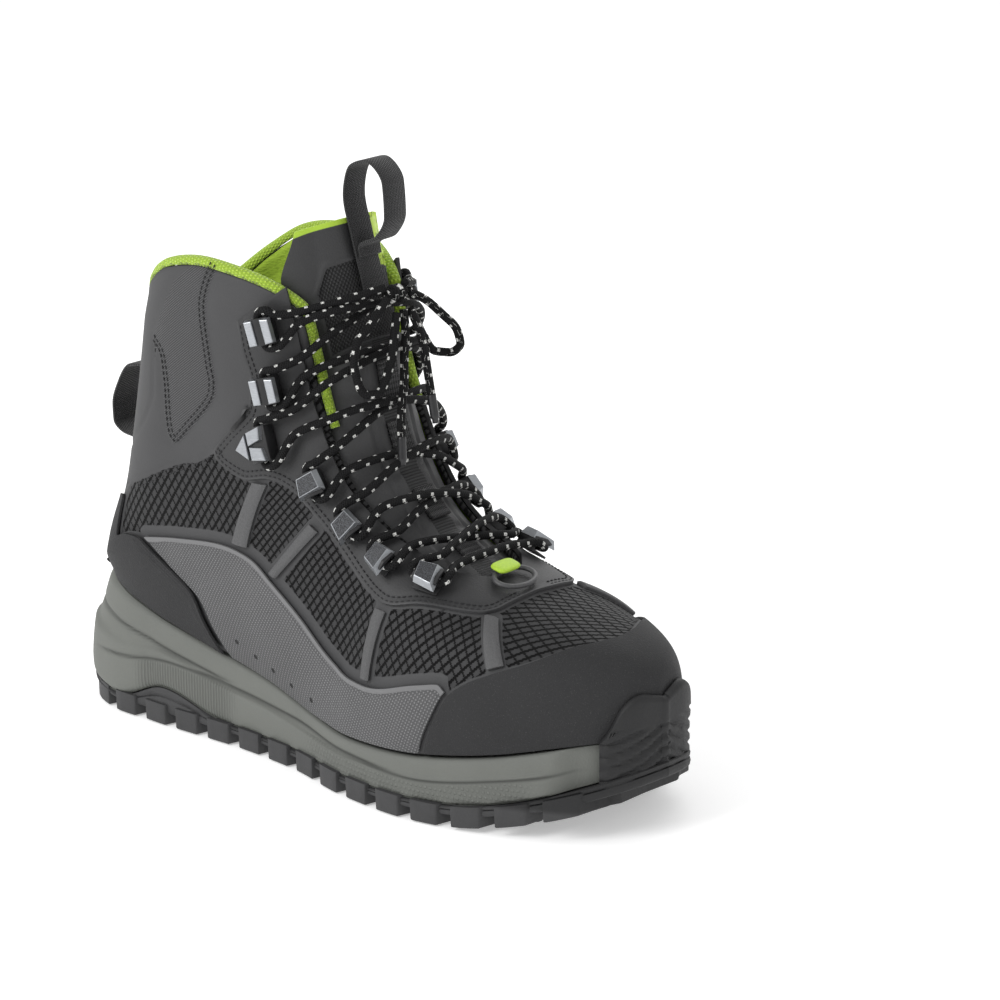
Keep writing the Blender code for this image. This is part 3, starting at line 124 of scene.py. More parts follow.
def tread_half_width(along, side):
    widths = {"heel": HEEL_WIDTH, "ball": BALL_WIDTH}
    shares = column(TREAD, "outer" if side == LATERAL else "inner")
    follows = column(TREAD, "follows")
    halves = [share * widths[name] for share, name in zip(shares, follows)]
    return smooth(column(TREAD, "along"), halves, along)


def station(along):
    """X of a share of the boot's length."""
    return (along - 0.5) * LENGTH + ORIGIN_X


def tread_ring(inset, count=RING_POINTS, flare=0.0):
    """The tread's outline from the heel round the outer side, moved inwards by inset.

    Flare is the share of the heel's backward sweep that it takes.
    """
    half = count // 2
    share = (1 - np.cos(np.pi * np.arange(half + 1) / half)) / 2
    outer = np.c_[station(share), -tread_half_width(share, LATERAL)]
    inner = np.c_[station(share), tread_half_width(share, MEDIAL)][::-1][1:-1]
    ring = np.r_[outer, inner]
    run = np.roll(ring, -1, 0) - np.roll(ring, 1, 0)
    run /= np.linalg.norm(run, axis=1)[:, None]
    inward = np.c_[-run[:, 1], run[:, 0]]
    sweep = np.clip((HEEL_SWEEP_END - along_of(ring[:, 0])) / HEEL_SWEEP_END, 0, 1)
    inset = inset - flare * HEEL_SWEEP * sweep * (2 - sweep)
    return ring + inward * inset[:, None]


# Heights of the sole along the boot. The rows hold shares of the named heights.
SOLE_LINES = (
    ("along", "stack", "of", "rubber", "hollow"),
    (0.00, 1.00, "heel", 0.0098, 0.022),
    (0.10, 0.91, "heel", 0.0072, 0.020),
    (0.19, 0.80, "heel", 0.0158, 0.016),
    (0.31, 0.66, "heel", 0.0080, 0.011),
    (0.40, 0.57, "heel", 0.0075, 0.008),
    (0.50, 1.05, "ball", 0.0073, 0.007),
    (0.58, 0.98, "ball", 0.0073, 0.007),
    (0.70, 1.07, "ball", 0.0080, 0.009),
    (0.82, 1.30, "ball", 0.0092, 0.012),
    (0.92, 0.90, "toe", 0.0105, 0.014),
    (1.00, 1.00, "toe", 0.0115, 0.015),
)


def along_of(x):
    return (x - ORIGIN_X) / LENGTH + 0.5


def ground(x):
    """Height of the tread's face: flat under heel and ball, lifted at the toe."""
    lift = np.clip((along_of(x) - 0.74) / 0.26, 0, 1)
    back = np.clip((0.045 - along_of(x)) / 0.045, 0, 1)
    return TOE_SPRING * lift ** 1.8 + 0.35 * LUG_DEPTH * back ** 1.5


def stack_top(x):
    """Height of the midsole's top edge, which is where the upper starts."""
    sizes = {"heel": HEEL_STACK, "ball": BALL_STACK, "toe": TOE_STACK}
    shares = zip(column(SOLE_LINES, "stack"), column(SOLE_LINES, "of"))
    heights = [share * sizes[name] for share, name in shares]
    return smooth(column(SOLE_LINES, "along"), heights, along_of(x))


def rubber_top(x):
    """Height of the line between the rubber outsole and the foam midsole."""
    return ground(x) + look_up(SOLE_LINES, "rubber", along_of(x))


class Value:
    """A number or colour in a finish; sums worked out with it become Math nodes."""

    def __init__(self, finish, socket):
        self.finish = finish
        self.socket = socket

    def math(self, operation, *others, swap=False):
        terms = (*others, self) if swap else (self, *others)
        return self.finish.add("Math", {"operation": operation}, dict(enumerate(terms)))

    def __add__(self, other):
        return self.math("ADD", other)

    def __sub__(self, other):
        return self.math("SUBTRACT", other)

    def __rsub__(self, other):
        return self.math("SUBTRACT", other, swap=True)

    def __mul__(self, other):
        return self.math("MULTIPLY", other)

    def __mod__(self, other):
        return self.math("FLOORED_MODULO", other)

    def __abs__(self):
        return self.math("ABSOLUTE")

    __radd__ = __add__
    __rmul__ = __mul__

    def most(self, other):
        return self.math("MAXIMUM", other)

    def least(self, other):
        return self.math("MINIMUM", other)

    def wave(self):
        """Sine, from 0 to 1, once for each whole number."""
        return (self * (2 * math.pi)).math("SINE") * 0.5 + 0.5

    def step(self, low, high):
        """Smooth step: 0 at low, 1 at high."""
        return self.finish.add("MapRange", {"interpolation_type": "SMOOTHSTEP"},
                               {0: self, 1: low, 2: high, 3: 0.0, 4: 1.0})


class Finish:
    """A material: its node tree, with one method that adds any node."""

    def __init__(self, name):
        self.material = bpy.data.materials.new(name)
        self.material.use_nodes = True
        self.tree = self.material.node_tree
        self.shader = self.tree.nodes["Principled BSDF"]
        self.relief = None

    def add(self, kind, settings, inputs, out=0):
        node = self.tree.nodes.new("ShaderNode" + kind)
        for key, setting in settings.items():
            setattr(node, key, setting)
        for key, given in inputs.items():
            self.feed(node.inputs[key], given)
        return Value(self, node.outputs[out])

    def feed(self, socket, given):
        if isinstance(given, Value):
            self.tree.links.new(given.socket, socket)
        elif isinstance(given, tuple) and len(given) == 3 and socket.type == "RGBA":
            socket.default_value = (*given, 1.0)
        else:
            socket.default_value = given

    def read(self, name):
        return self.add("Attribute", {"attribute_name": name}, {}, out="Fac")

    def spot(self, size=(1.0, 1.0, 1.0)):
        """Object coordinates, stretched by size."""
        where = self.add("TexCoord", {}, {}, out="Object")
        return self.add("Mapping", {}, {"Vector": where, "Scale": size}, out="Vector")

    def along_axis(self, axis):
        """One of the object's coordinates: 0 for X, 1 for Y, 2 for Z."""
        return self.add("SeparateXYZ", {}, {0: self.spot()}, out=axis)

    def noise(self, scale, where=None, detail=2.0, rough=0.5):
        return self.add("TexNoise", {}, {"Vector": where or self.spot(), "Scale": scale,
                                         "Detail": detail, "Roughness": rough}, out=0)

    def cells(self, scale, where=None, feature="F1", out=0):
        return self.add("TexVoronoi", {"feature": feature},
                        {"Vector": where or self.spot(), "Scale": scale}, out=out)

    def blend(self, share, a, b):
        return self.add("Mix", {"data_type": "RGBA"}, {0: share, 6: a, 7: b}, out=2)

    def press(self, height, depth):
        """Adds relief, with its depth in metres."""
        inputs = {"Height": height, "Distance": depth, "Strength": 1.0}
        if self.relief:
            inputs["Normal"] = self.relief
        self.relief = self.add("Bump", {}, inputs, out="Normal")

    def done(self, colour, rough, **fixed):
        self.feed(self.shader.inputs["Base Color"], colour)
        self.feed(self.shader.inputs["Roughness"], rough)
        for key, number in fixed.items():
            label = key.replace("_", " ").title().replace("Ior", "IOR")
            self.feed(self.shader.inputs[label], number)
        if self.relief:
            self.feed(self.shader.inputs["Normal"], self.relief)
        return self.material


def paint(red, green, blue):
    """A colour given as it looks on a screen, from 0 to 255."""
    return tuple((c / 255 / 12.92) if c < 10 else ((c / 255 + 0.055) / 1.055) ** 2.4
                 for c in (red, green, blue))


def grid(work, places, marks=None):
    """Adds a grid of faces at an array of places (rows, columns, 3), with marks as attributes."""
    rows, columns = places.shape[:2]
    for name in marks or {}:
        if name not in work.verts.layers.float:
            work.verts.layers.float.new(name)
    layers = {name: work.verts.layers.float[name] for name in marks or {}}
    made = bmesh.ops.create_grid(work, x_segments=columns - 1, y_segments=rows - 1, size=1.0)
    made = made["verts"]
    for vert, place in zip(made, places.reshape(-1, 3).tolist()):
        vert.co = place
    for name, values in (marks or {}).items():
        values = np.broadcast_to(values, (rows, columns)).reshape(-1).tolist()
        for vert, value in zip(made, values):
            vert[layers[name]] = value


WELD = 2e-5                 # points nearer than this are one point


def piece(name, work, materials, node=None, merge=WELD, turn=True):
    """Makes a mesh object of a bmesh, smooth shaded, that rides on the boot."""
    if merge:
        bmesh.ops.remove_doubles(work, verts=work.verts, dist=merge)
    if turn:
        bmesh.ops.recalc_face_normals(work, faces=work.faces)
    mesh = bpy.data.meshes.new(name)
    work.to_mesh(mesh)
    work.free()
    for material in materials:
        mesh.materials.append(material)
    mesh.polygons.foreach_set("use_smooth", [True] * len(mesh.polygons))
    thing = bpy.data.objects.new(name, mesh)
    bpy.context.scene.collection.objects.link(thing)
    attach(thing, "root")
    for replaced in [node] if isinstance(node, str) else node or []:
        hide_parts(replaced)
    return thing


def soften(thing, angle):
    """Smooth shading that keeps edges sharper than the angle."""
    work = bmesh.new()
    work.from_mesh(thing.data)
    for edge in work.edges:
        if len(edge.link_faces) == 2 and edge.calc_face_angle(0.0) > math.radians(angle):
            edge.smooth = False
    work.to_mesh(thing.data)
    work.free()


def halves(inset, count, flare=0.0):
    """The outline's half on each side, from heel to toe, by side."""
    ring = tread_ring(inset, 2 * count, flare)
    return {LATERAL: ring[:count + 1], MEDIAL: np.r_[ring[count:], ring[:1]][::-1]}


def give_wall(thing, thickness, lining=False):
    """Thickness inwards of a sheet, with its second material on the inside where lining is set."""
    wall = thing.modifiers.new("wall", "SOLIDIFY")
    wall.thickness = thickness
    wall.offset = -1.0
    wall.material_offset = 1 if lining else 0
    return wall


def round_edges(thing, width, segments=2, angle=30):
    """Rounds the edges that are sharper than the angle."""
    edge = thing.modifiers.new("edge", "BEVEL")
    edge.width = width
    edge.segments = segments
    edge.limit_method = "ANGLE"
    edge.angle_limit = math.radians(angle)


def grained(name, scale, depth, dark, light, matt, uneven, **noise):
    """A plain finish: two close colours in a grain, which also roughens it."""
    finish = Finish(name)
    grain = finish.noise(scale, **noise)
    if depth:
        finish.press(grain, depth)
    return finish.done(finish.blend(grain, paint(*dark), paint(*light)), grain * uneven + matt)


def walk_along(path):
    """Directions at the points of a path, and the distance walked up to each."""
    run_on = np.gradient(path, axis=0)
    run_on /= np.linalg.norm(run_on, axis=1)[:, None]
    walked = np.r_[0, np.cumsum(np.linalg.norm(np.diff(path, axis=0), axis=1))]
    return run_on, walked


def flat_between(half, count):
    """Points of a flat area between the outline's halves, as (count, points, xy)."""
    share = np.linspace(0, 1, count)[:, None, None]
    return half[LATERAL][None] * (1 - share) + half[MEDIAL][None] * share


def at_heights(flat, heights):
    """Flat points, each with its height."""
    return np.concatenate([flat, heights[..., None]], -1)


rubber = Finish("outsole_rubber")
grain = rubber.noise(900, detail=3.0)
worn = rubber.noise(60, detail=4.0, rough=0.65)
pits = rubber.cells(2600)
rubber.press(grain * 0.6 + pits * 0.4, 0.00012)
tread_rubber = rubber.blend(worn * 0.5 + grain * 0.3, paint(42, 42, 43), paint(74, 74, 75))
# Painted shade: the toe wall takes a darker copy of the same rubber as the tread and sides.
shaded_wall_rubber = rubber.blend(worn * 0.5 + grain * 0.3, paint(22, 22, 23), paint(40, 40, 41))
toe_wall_shade = rubber.along_axis(0).step(0.090, 0.105) * rubber.along_axis(2).step(0.011, 0.014)
colour = rubber.blend(toe_wall_shade, tread_rubber, shaded_wall_rubber)
outsole_rubber = rubber.done(colour, 0.52 + grain * 0.22, specular_ior_level=0.4)

SOLE_COUNT = 150            # steps along each side of the sole
# The rubber's side from the lugs up: share of its height, inset and share of the heel's sweep.
BAND = ((0.00, 0.0012, 0.60), (0.10, 0.0003, 0.66), (0.35, 0.0000, 0.72), (0.55, 0.0003, 0.78),
        (0.62, 0.0010, 0.82), (0.70, 0.0003, 0.84), (0.90, 0.0001, 0.88), (1.00, 0.0008, 0.88))
work = bmesh.new()
for side in (LATERAL, MEDIAL):
    rows = []
    for height, inset, sweep in BAND:
        half = halves(inset, SOLE_COUNT, sweep)[side]
        low = ground(half[:, 0]) + LUG_DEPTH
        rows.append(np.c_[half, low + height * (rubber_top(half[:, 0]) - low)])
    grid(work, np.array(rows))
for height, inset, sweep in (BAND[0], BAND[-1]):
    flat = flat_between(halves(inset, SOLE_COUNT, sweep), 13)
    top = ground(flat[..., 0]) + LUG_DEPTH if height == 0 else rubber_top(flat[..., 0])
    grid(work, at_heights(flat, top))
bmesh.ops.remove_doubles(work, verts=work.verts, dist=WELD)


LUG_ROOT = 0.0016           # how far a lug runs into the sole


def lug(work, outline, depth=LUG_DEPTH, soft=0.0007, spread=1.08):
    """A rubber block on the tread: its outline on the floor side, run up into the sole."""
    outline = np.asarray(outline, float)
    middle = outline.mean(0)
    roots = middle + (outline - middle) * spread
    verts = [work.verts.new((x, y, ground(x))) for x, y in outline]
    face = work.faces.new(verts)
    made = bmesh.ops.extrude_face_region(work, geom=[face])["geom"]
    moved = [item for item in made if isinstance(item, bmesh.types.BMVert)]
    for vert, (x, y) in zip(verts, roots):
        near = min(moved, key=lambda item: (item.co - vert.co).length)
        near.co = (x, y, ground(x) + depth + LUG_ROOT)
    edges = list(face.edges) + [edge for vert in verts for edge in vert.link_edges]
    bmesh.ops.bevel(work, geom=list(dict.fromkeys(edges)), offset=soft, segments=2, affect="EDGES",
                    profile=0.5, material=-1, clamp_overlap=True)


# Edge lugs: bent blocks that lean forward, every other one longer and with a stud's seat. Their
# outer ends show on the sole's side.
EDGE_LUGS = 15
EDGE_LUGS_FROM = 0.035      # share of LENGTH where the first one starts
PITCH = 0.920 / EDGE_LUGS   # share of LENGTH from one to the next
EDGE_LUG_SHARE = 0.66       # share of the pitch that is rubber
EDGE_LUG_REACH = 0.019      # from the tread's edge inwards
SHORT_LUG = 0.78            # share of that reach for every other lug
EDGE_LUG_RISE = 0.0030      # how far they run up the sole's side
EDGE_LUG_OUT = 0.0013       # how far they stand out from it
studs = []
for side in (LATERAL, MEDIAL):
    half = halves(-EDGE_LUG_OUT, 200, 0.60)[side]
    for k in range(EDGE_LUGS):
        start = EDGE_LUGS_FROM + k * PITCH
        xs = station(np.linspace(start, start + EDGE_LUG_SHARE * PITCH, 4))
        outer = np.c_[xs, np.interp(xs, half[:, 0], half[:, 1])]
        deep = EDGE_LUG_REACH * (1.0 if k % 2 else SHORT_LUG)
        end = np.array((0.35 * PITCH * LENGTH, -side * deep))
        elbow = np.array((0.10 * PITCH * LENGTH, -side * deep * 0.52))
        inner = [outer[-1] + elbow, outer[-1] + end, outer[0] + end, outer[0] + elbow]
        lug(work, [*outer, *inner], LUG_DEPTH + EDGE_LUG_RISE, spread=1.03)
        if k % 2:
            studs.append((inner[0] + inner[3]) / 2 + (0.0016, -side * 0.0018))
# Star lugs along the middle: place, as shares of LENGTH and BALL_WIDTH, and turn in degrees.
STAR_LUGS = (
    ("along", "across", "turn"),
    (0.120, 0.00, 0),
    (0.200, 0.12, 180),
    (0.200, -0.11, 180),
    (0.285, 0.00, 0),
    (0.370, -0.03, 180),
    (0.455, 0.00, 0),
    (0.530, 0.06, 180),
    (0.600, -0.14, 0),
    (0.600, 0.12, 180),
    (0.670, -0.01, 0),
    (0.735, 0.18, 180),
    (0.735, -0.18, 180),
    (0.800, 0.00, 0),
    (0.865, 0.00, 180),
)
STAR_ARM = 0.0095
STAR_WIDE = 0.0038


def heading(degrees):
    """Unit vector in the floor's plane."""
    return np.array([math.cos(math.radians(degrees)), math.sin(math.radians(degrees))])


for along, across, turn in STAR_LUGS[1:]:
    centre = np.array([station(along), across * BALL_WIDTH])
    points = []
    for arm in range(3):
        forward = heading(turn + 120 * arm)
        sideways = np.array([-forward[1], forward[0]])
        points += [centre + forward * STAR_ARM - sideways * STAR_WIDE * 0.5,
                   centre + forward * STAR_ARM + sideways * STAR_WIDE * 0.5,
                   centre + heading(turn + 120 * arm + 60) * STAR_WIDE * 0.6]
    lug(work, points, soft=0.0005)
# Bars at the heel's back and at the toe: their ends along, and their half widths there.
toe_half = tread_half_width(0.968, LATERAL)
BARS = (
    (0.004, 0.030, tread_half_width(0.004, LATERAL), tread_half_width(0.028, MEDIAL)),
    (0.930, 0.968, toe_half * 0.9, toe_half * 0.8),
)
for low, high, half_low, half_high in BARS:
    middle = station((low + high) / 2)
    lug(work, [(station(low), -half_low), (station(high), -half_high), (middle + 0.004, 0.0),
               (station(high), half_high), (station(low), half_low), (middle - 0.004, 0.0)])
STUD_RADIUS = 0.0030
for x, y in studs:
    ring = bmesh.ops.create_circle(work, cap_ends=False, radius=STUD_RADIUS, segments=18,
                                   matrix=Matrix.Translation((x, y, ground(x) + 0.0002)))["verts"]
    edges = list({edge for vert in ring for edge in vert.link_edges})
    for grow, rise in ((0.60, 0.0), (0.92, 0.0016)):
        made = bmesh.ops.extrude_edge_only(work, edges=edges)["geom"]
        ring = [item for item in made if isinstance(item, bmesh.types.BMVert)]
        edges = [item for item in made if isinstance(item, bmesh.types.BMEdge)]
        centre = Vector((x, y, 0))
        for vert in ring:
            flat = (vert.co - centre) * grow
            vert.co = (x + flat.x, y + flat.y, vert.co.z + rise)
    bmesh.ops.contextual_create(work, geom=edges)


# The toe wall turns up over the midsole and the toe, so the sole's mesh waits for that form.
sole = work


# Midsole: grey-green moulded foam with a fine stipple. A ledge runs round the heel, a wave
# line splits the side, and fields of ribs and dots are moulded in the arch and forefoot.
# How far the upper's foot edge lies inside the tread's outline.
FOOT_INSET = (
    ("along", "inset"),
    (0.00, 0.0062),
    (0.20, 0.0046),
    (0.55, 0.0032),
    (0.80, 0.0034),
    (0.92, 0.0052),
    (1.00, 0.0062),
)
FOAM_RIM = 0.0070           # from the upper's foot edge in to the midsole's hollow


def foot_inset(x):
    return look_up(FOOT_INSET, "inset", along_of(x))


def footbed(x):
    """Height of the floor of the midsole's hollow."""
    return stack_top(x) - look_up(SOLE_LINES, "hollow", along_of(x))


TOE_START = 0.885           # where the toe guard begins, as a share of LENGTH


def toe_inset(x):
    """Extra inset of the midsole behind the toe guard."""
    share = np.clip((along_of(x) - TOE_START) / 0.05, 0, 1)
    return (foot_inset(x) + GAP) * share ** 2 * (3 - 2 * share)


MIDSOLE_SIDE = (
    ("height", "inset", "sweep"),
    (0.00, 0.0010, 0.90),
    (0.08, 0.0002, 1.00),
    (0.50, -0.0004, 0.80),
    (0.58, 0.0013, 0.66),
    (0.86, 0.0017, 0.24),
    (0.96, 0.0024, 0.10),
    (1.00, 0.0034, 0.00),
)


def line_at(rows, x):
    """Height of a line given by rows of along and height."""
    return smooth([row[0] for row in rows], [row[1] for row in rows], x)


def ledge(value, low, high):
    """Smooth step of an array."""
    share = np.clip((value - low) / (high - low), 0, 1)
    return share * share * (3 - 2 * share)


def groove(distance, wide):
    return np.exp(-(distance / wide) ** 2)


foam = Finish("midsole_foam")
stipple = foam.noise(1500, detail=2.0)
cloudy = foam.noise(35, detail=3.0)
ribs = foam.read("ribs")
dots = foam.read("dots")
around = foam.read("around")
up = foam.read("up")
rib = (around * 620.0).wave()
row = (up * 430.0).math("FLOOR")
dot_u = (around * 430.0 + (row % 2.0) * 0.5) % 1.0 - 0.5
dot_v = (up * 430.0) % 1.0 - 0.5
dot = (dot_u * dot_u + dot_v * dot_v).step(0.13, 0.02)
foam.press(stipple * 0.35 + rib * ribs * 1.0 + dot * dots * 0.8, 0.00035)
shade = foam.blend(cloudy * 0.5 + stipple * 0.3, paint(93, 95, 91), paint(116, 118, 113))
# Painted shade: darker in the troughs of the arch's ribs and round the forefoot's dots.
rib_and_dot_shade = (ribs * (1 - rib) * 0.35 + dots * (1 - dot) * 0.18).least(1.0)
shade = foam.blend(rib_and_dot_shade, shade, paint(46, 48, 45))
# Painted shade: the heel's ledge and the wave line are darkened along their moulded grooves.
shade = foam.blend(foam.read("groove_shade") * 0.75, shade, paint(34, 35, 33))
midsole_foam = foam.done(shade, 0.62 + stipple * 0.15, specular_ior_level=0.4)

MIDSOLE_ROWS = 46
# Moulded lines of the sides, as share of the length and height: the heel's ledge, the wave.
HEEL_LEDGE = ((0.0, 0.0440), (0.06, 0.0415), (0.14, 0.0370), (0.22, 0.0320), (0.30, 0.0275))
WAVE = ((0.05, 0.0250), (0.13, 0.0262), (0.20, 0.0285), (0.26, 0.0275), (0.34, 0.0245),
        (0.44, 0.0215), (0.56, 0.0180), (0.70, 0.0170), (0.84, 0.0230), (0.93, 0.0290))
RIBS_FOOT = 0.0090          # from the floor to the ribs of the arch


def midsole_relief(along, height):
    """How far the moulded side stands out, with the masks of its fields and of the painted shade along
    its grooves.
    """
    top = line_at(HEEL_LEDGE, along)
    wave = line_at(WAVE, along)
    heel = ledge(along, 0.34, 0.27)
    fade = ledge(along, 0.04, 0.10) * ledge(along, 0.95, 0.88)
    below = ledge(wave - height, 0.0006, 0.0016)
    arch = ledge(along, 0.13, 0.16) * ledge(along, 0.345, 0.30)
    foot = ground(station(along)) + RIBS_FOOT
    ribs = below * arch * ledge(height, foot, foot + 0.0010)
    dots = below * ledge(along, 0.47, 0.52) * ledge(along, 0.90, 0.85)
    out = -0.0011 * groove(height - top, 0.0011) * heel
    out -= 0.0009 * groove(height - wave, 0.0010) * fade
    out -= 0.0004 * (ribs + dots)
    # Mask of the painted shade along the ledge's and the wave's grooves.
    groove_shade = np.maximum(groove(height - top, 0.0007) * heel, groove(height - wave, 0.0007) * fade)
    return out, {"ribs": ribs, "dots": dots, "groove_shade": groove_shade, "up": height}


work = bmesh.new()
ring_x = tread_ring(0.0, 2 * SOLE_COUNT)[:, 0]
behind_guard = toe_inset(ring_x)
plain = halves(0.0, SOLE_COUNT)
for side in (LATERAL, MEDIAL):
    _, walked = walk_along(plain[side])
    shown = 1 - ledge(toe_inset(plain[side][:, 0]), 0.0, 0.002)
    rows, rows_marks = [], []
    for share in np.linspace(0.0, 1.0, MIDSOLE_ROWS):
        inset = np.maximum(look_up(MIDSOLE_SIDE, "inset", share), behind_guard)
        half = halves(inset, SOLE_COUNT, look_up(MIDSOLE_SIDE, "sweep", share))[side]
        low = rubber_top(half[:, 0]) + GAP
        height = low + share * (stack_top(half[:, 0]) - low)
        out, marks = midsole_relief(along_of(plain[side][:, 0]), height)
        out = out * np.clip(min(share, 1 - share) / 0.03, 0, 1)
        out -= 0.0009 * (1 - min(share / 0.05, 1)) ** 2
        out -= 0.0008 * (1 - min((1 - share) / 0.05, 1)) ** 2
        run_on, _ = walk_along(half)
        outward = np.c_[run_on[:, 1], -run_on[:, 0]] * -side
        half = half + outward * (out * shown)[:, None]
        half[[0, -1], 1] = 0.0
        rows.append(np.c_[half, height])
        rows_marks.append(marks)
    marks = {name: np.array([row[name] for row in rows_marks]) for name in rows_marks[0]}
    grid(work, np.array(rows), {**marks, "around": walked[None]})
MIDSOLE_RIM = 0.0034        # inset of the side's top edge
hollow = foot_inset(ring_x) + FOAM_RIM
blank = {"ribs": 0.0, "dots": 0.0, "groove_shade": 0.0, "up": 0.0, "around": 0.0}
for side in (LATERAL, MEDIAL):
    edge = halves(np.maximum(MIDSOLE_RIM, behind_guard), SOLE_COUNT)[side]
    rim = halves(hollow, SOLE_COUNT)[side]
    floor = halves(hollow + 0.001, SOLE_COUNT)[side]
    grid(work, np.array([np.c_[edge, stack_top(edge[:, 0])], np.c_[rim, stack_top(rim[:, 0])],
                         np.c_[floor, footbed(floor[:, 0])]]), blank)
flat = flat_between(halves(hollow + 0.001, SOLE_COUNT), 9)
grid(work, at_heights(flat, footbed(flat[..., 0])), blank)
flat = flat_between(halves(np.maximum(0.0010, behind_guard), SOLE_COUNT, 0.90), 9)
grid(work, at_heights(flat, rubber_top(flat[..., 0]) + GAP), blank)
piece("foam_midsole", work, [midsole_foam], node="midsole", merge=8e-5)


# Insole: a moulded foam footbed with a dark brushed cloth face, laid loose in the midsole.
INSOLE_WALL = 0.0042
cloth = Finish("insole_cloth")
nap = cloth.noise(1400, detail=3.0)
thread = cloth.noise(300, cloth.spot((1.0, 6.0, 1.0)), detail=1.0)
cloth.press(nap * 0.6 + thread * 0.4, 0.0003)
insole_cloth = cloth.done(cloth.blend(nap * 0.7, paint(40, 41, 43), paint(66, 68, 70)), 0.9)
work = bmesh.new()
around_foot = hollow + 0.001 + 2 * GAP
# The insole's edge: inset beyond the hollow, and share of its thickness.
INSOLE_EDGE = ((0.0005, 0.0), (0.0, 0.15), (0.0, 0.70), (0.0004, 0.90), (0.0014, 1.0))
for side in (LATERAL, MEDIAL):
    rows = []
    for more, rise in INSOLE_EDGE:
        half = halves(around_foot + more, SOLE_COUNT)[side]
        rows.append(np.c_[half, footbed(half[:, 0]) + 2 * GAP + rise * INSOLE_WALL])
    grid(work, np.array(rows))
for more, rise in (INSOLE_EDGE[0], INSOLE_EDGE[-1]):
    flat = flat_between(halves(around_foot + more, SOLE_COUNT), 17)
    grid(work, at_heights(flat, footbed(flat[..., 0]) + 2 * GAP + rise * INSOLE_WALL))
piece("brushed_insole", work, [insole_cloth], node="insole", merge=6e-5)


# Upper: coated microfibre and a moulded scale mesh, cut as one shell that is open under the
# foot, at the throat and at the collar. The cuff is padded and its rear panel is twill. The
# lining is black knit with a lime band round the opening.
UPPER_WALL = 0.0024         # vamp and quarters
CUFF_WALL = 0.0052          # padded cuff and collar


def foot_half_width(x, side):
    """Half width of the upper where it meets the midsole."""
    plain = tread_ring(0.0, 240)
    ring = tread_ring(foot_inset(plain[:, 0]), 240)
    half = ring[:121] if side == LATERAL else np.r_[ring[120:], ring[:1]][::-1]
    order = np.argsort(half[:, 0])
    ends = (half[order[0], 0], half[order[-1], 0])
    width = np.interp(x, half[order, 0], np.abs(half[order, 1]))
    return np.where((x <= ends[0]) | (x >= ends[1]), 0.0, width), ends


WORDS = {LATERAL: "outer", MEDIAL: "inner"}
HEEL_END, TOE_END = foot_half_width(0.0, LATERAL)[1]
# The upper's sections, from the tip of the toe (run 0) to above the collar (run 1). Base is
# the section's foot: along the midsole's rim, then up the heel's back, where base_up is a
# share of COLLAR_HEIGHT. Ridge is its highest or foremost point. Ridge_up is a share of
# INSTEP_HEIGHT for the foot and of COLLAR_HEIGHT for the shaft. The half widths are shares
# of BALL_WIDTH, widest is the share of the section's depth where it is widest, and crown is
# how square its ridge is.
SECTIONS = (
    ("run", "base", "base_up", "ridge", "ridge_up", "of", "outer", "inner", "widest", "crown"),
    (0.00, 1.000, 0.0, 1.000, 0.640, "instep", 0.000, 0.000, 0.20, 2.5),
    (0.02, 0.997, 0.0, 0.997, 0.690, "instep", 0.000, 0.000, 0.20, 2.5),
    (0.05, 0.985, 0.0, 0.988, 0.745, "instep", 0.000, 0.000, 0.21, 2.5),
    (0.09, 0.963, 0.0, 0.966, 0.800, "instep", 0.000, 0.000, 0.22, 2.5),
    (0.14, 0.930, 0.0, 0.934, 0.842, "instep", 0.000, 0.000, 0.22, 2.5),
    (0.20, 0.880, 0.0, 0.884, 0.882, "instep", 0.000, 0.000, 0.22, 2.5),
    (0.28, 0.808, 0.0, 0.812, 0.936, "instep", 0.000, 0.000, 0.22, 2.4),
    (0.36, 0.722, 0.0, 0.735, 1.000, "instep", 0.000, 0.000, 0.22, 2.4),
    (0.43, 0.638, 0.0, 0.676, 1.085, "instep", 0.468, 0.424, 0.23, 2.4),
    (0.50, 0.547, 0.0, 0.620, 1.200, "instep", 0.432, 0.372, 0.25, 2.4),
    (0.56, 0.450, 0.0, 0.575, 0.576, "collar", 0.405, 0.362, 0.27, 2.5),
    (0.62, 0.340, 0.0, 0.543, 0.648, "collar", 0.390, 0.370, 0.30, 2.6),
    (0.67, 0.228, 0.0, 0.526, 0.717, "collar", 0.382, 0.372, 0.33, 2.7),
    (0.72, 0.120, 0.0, 0.517, 0.777, "collar", 0.376, 0.370, 0.35, 2.8),
    (0.74, 0.068, 0.0, 0.514, 0.799, "collar", 0.374, 0.369, 0.355, 2.85),
    (0.76, 0.030, 0.0, 0.511, 0.820, "collar", 0.372, 0.368, 0.36, 2.9),
    (0.78, 0.0075, 0.0, 0.508, 0.840, "collar", 0.371, 0.367, 0.366, 2.9),
    (0.79, 0.0019, 0.0, 0.507, 0.850, "collar", 0.370, 0.366, 0.37, 2.9),
    (0.81, 0.008, 0.310, 0.504, 0.870, "collar", 0.369, 0.365, 0.37, 2.9),
    (0.86, 0.042, 0.430, 0.495, 0.920, "collar", 0.370, 0.366, 0.38, 2.9),
    (0.91, 0.066, 0.565, 0.483, 0.975, "collar", 0.378, 0.372, 0.39, 2.9),
    (0.96, 0.090, 0.715, 0.468, 1.035, "collar", 0.388, 0.382, 0.40, 2.9),
    (1.00, 0.116, 0.900, 0.448, 1.130, "collar", 0.396, 0.390, 0.41, 2.9),
)
HEEL_CORNER = 0.80          # run at which the section's foot turns up the heel's back
FOOT_SWELL = 1.03           # widest width over the width at the midsole, in the foot
SECTION_ROWS = 201
SECTION_COLUMNS = 97


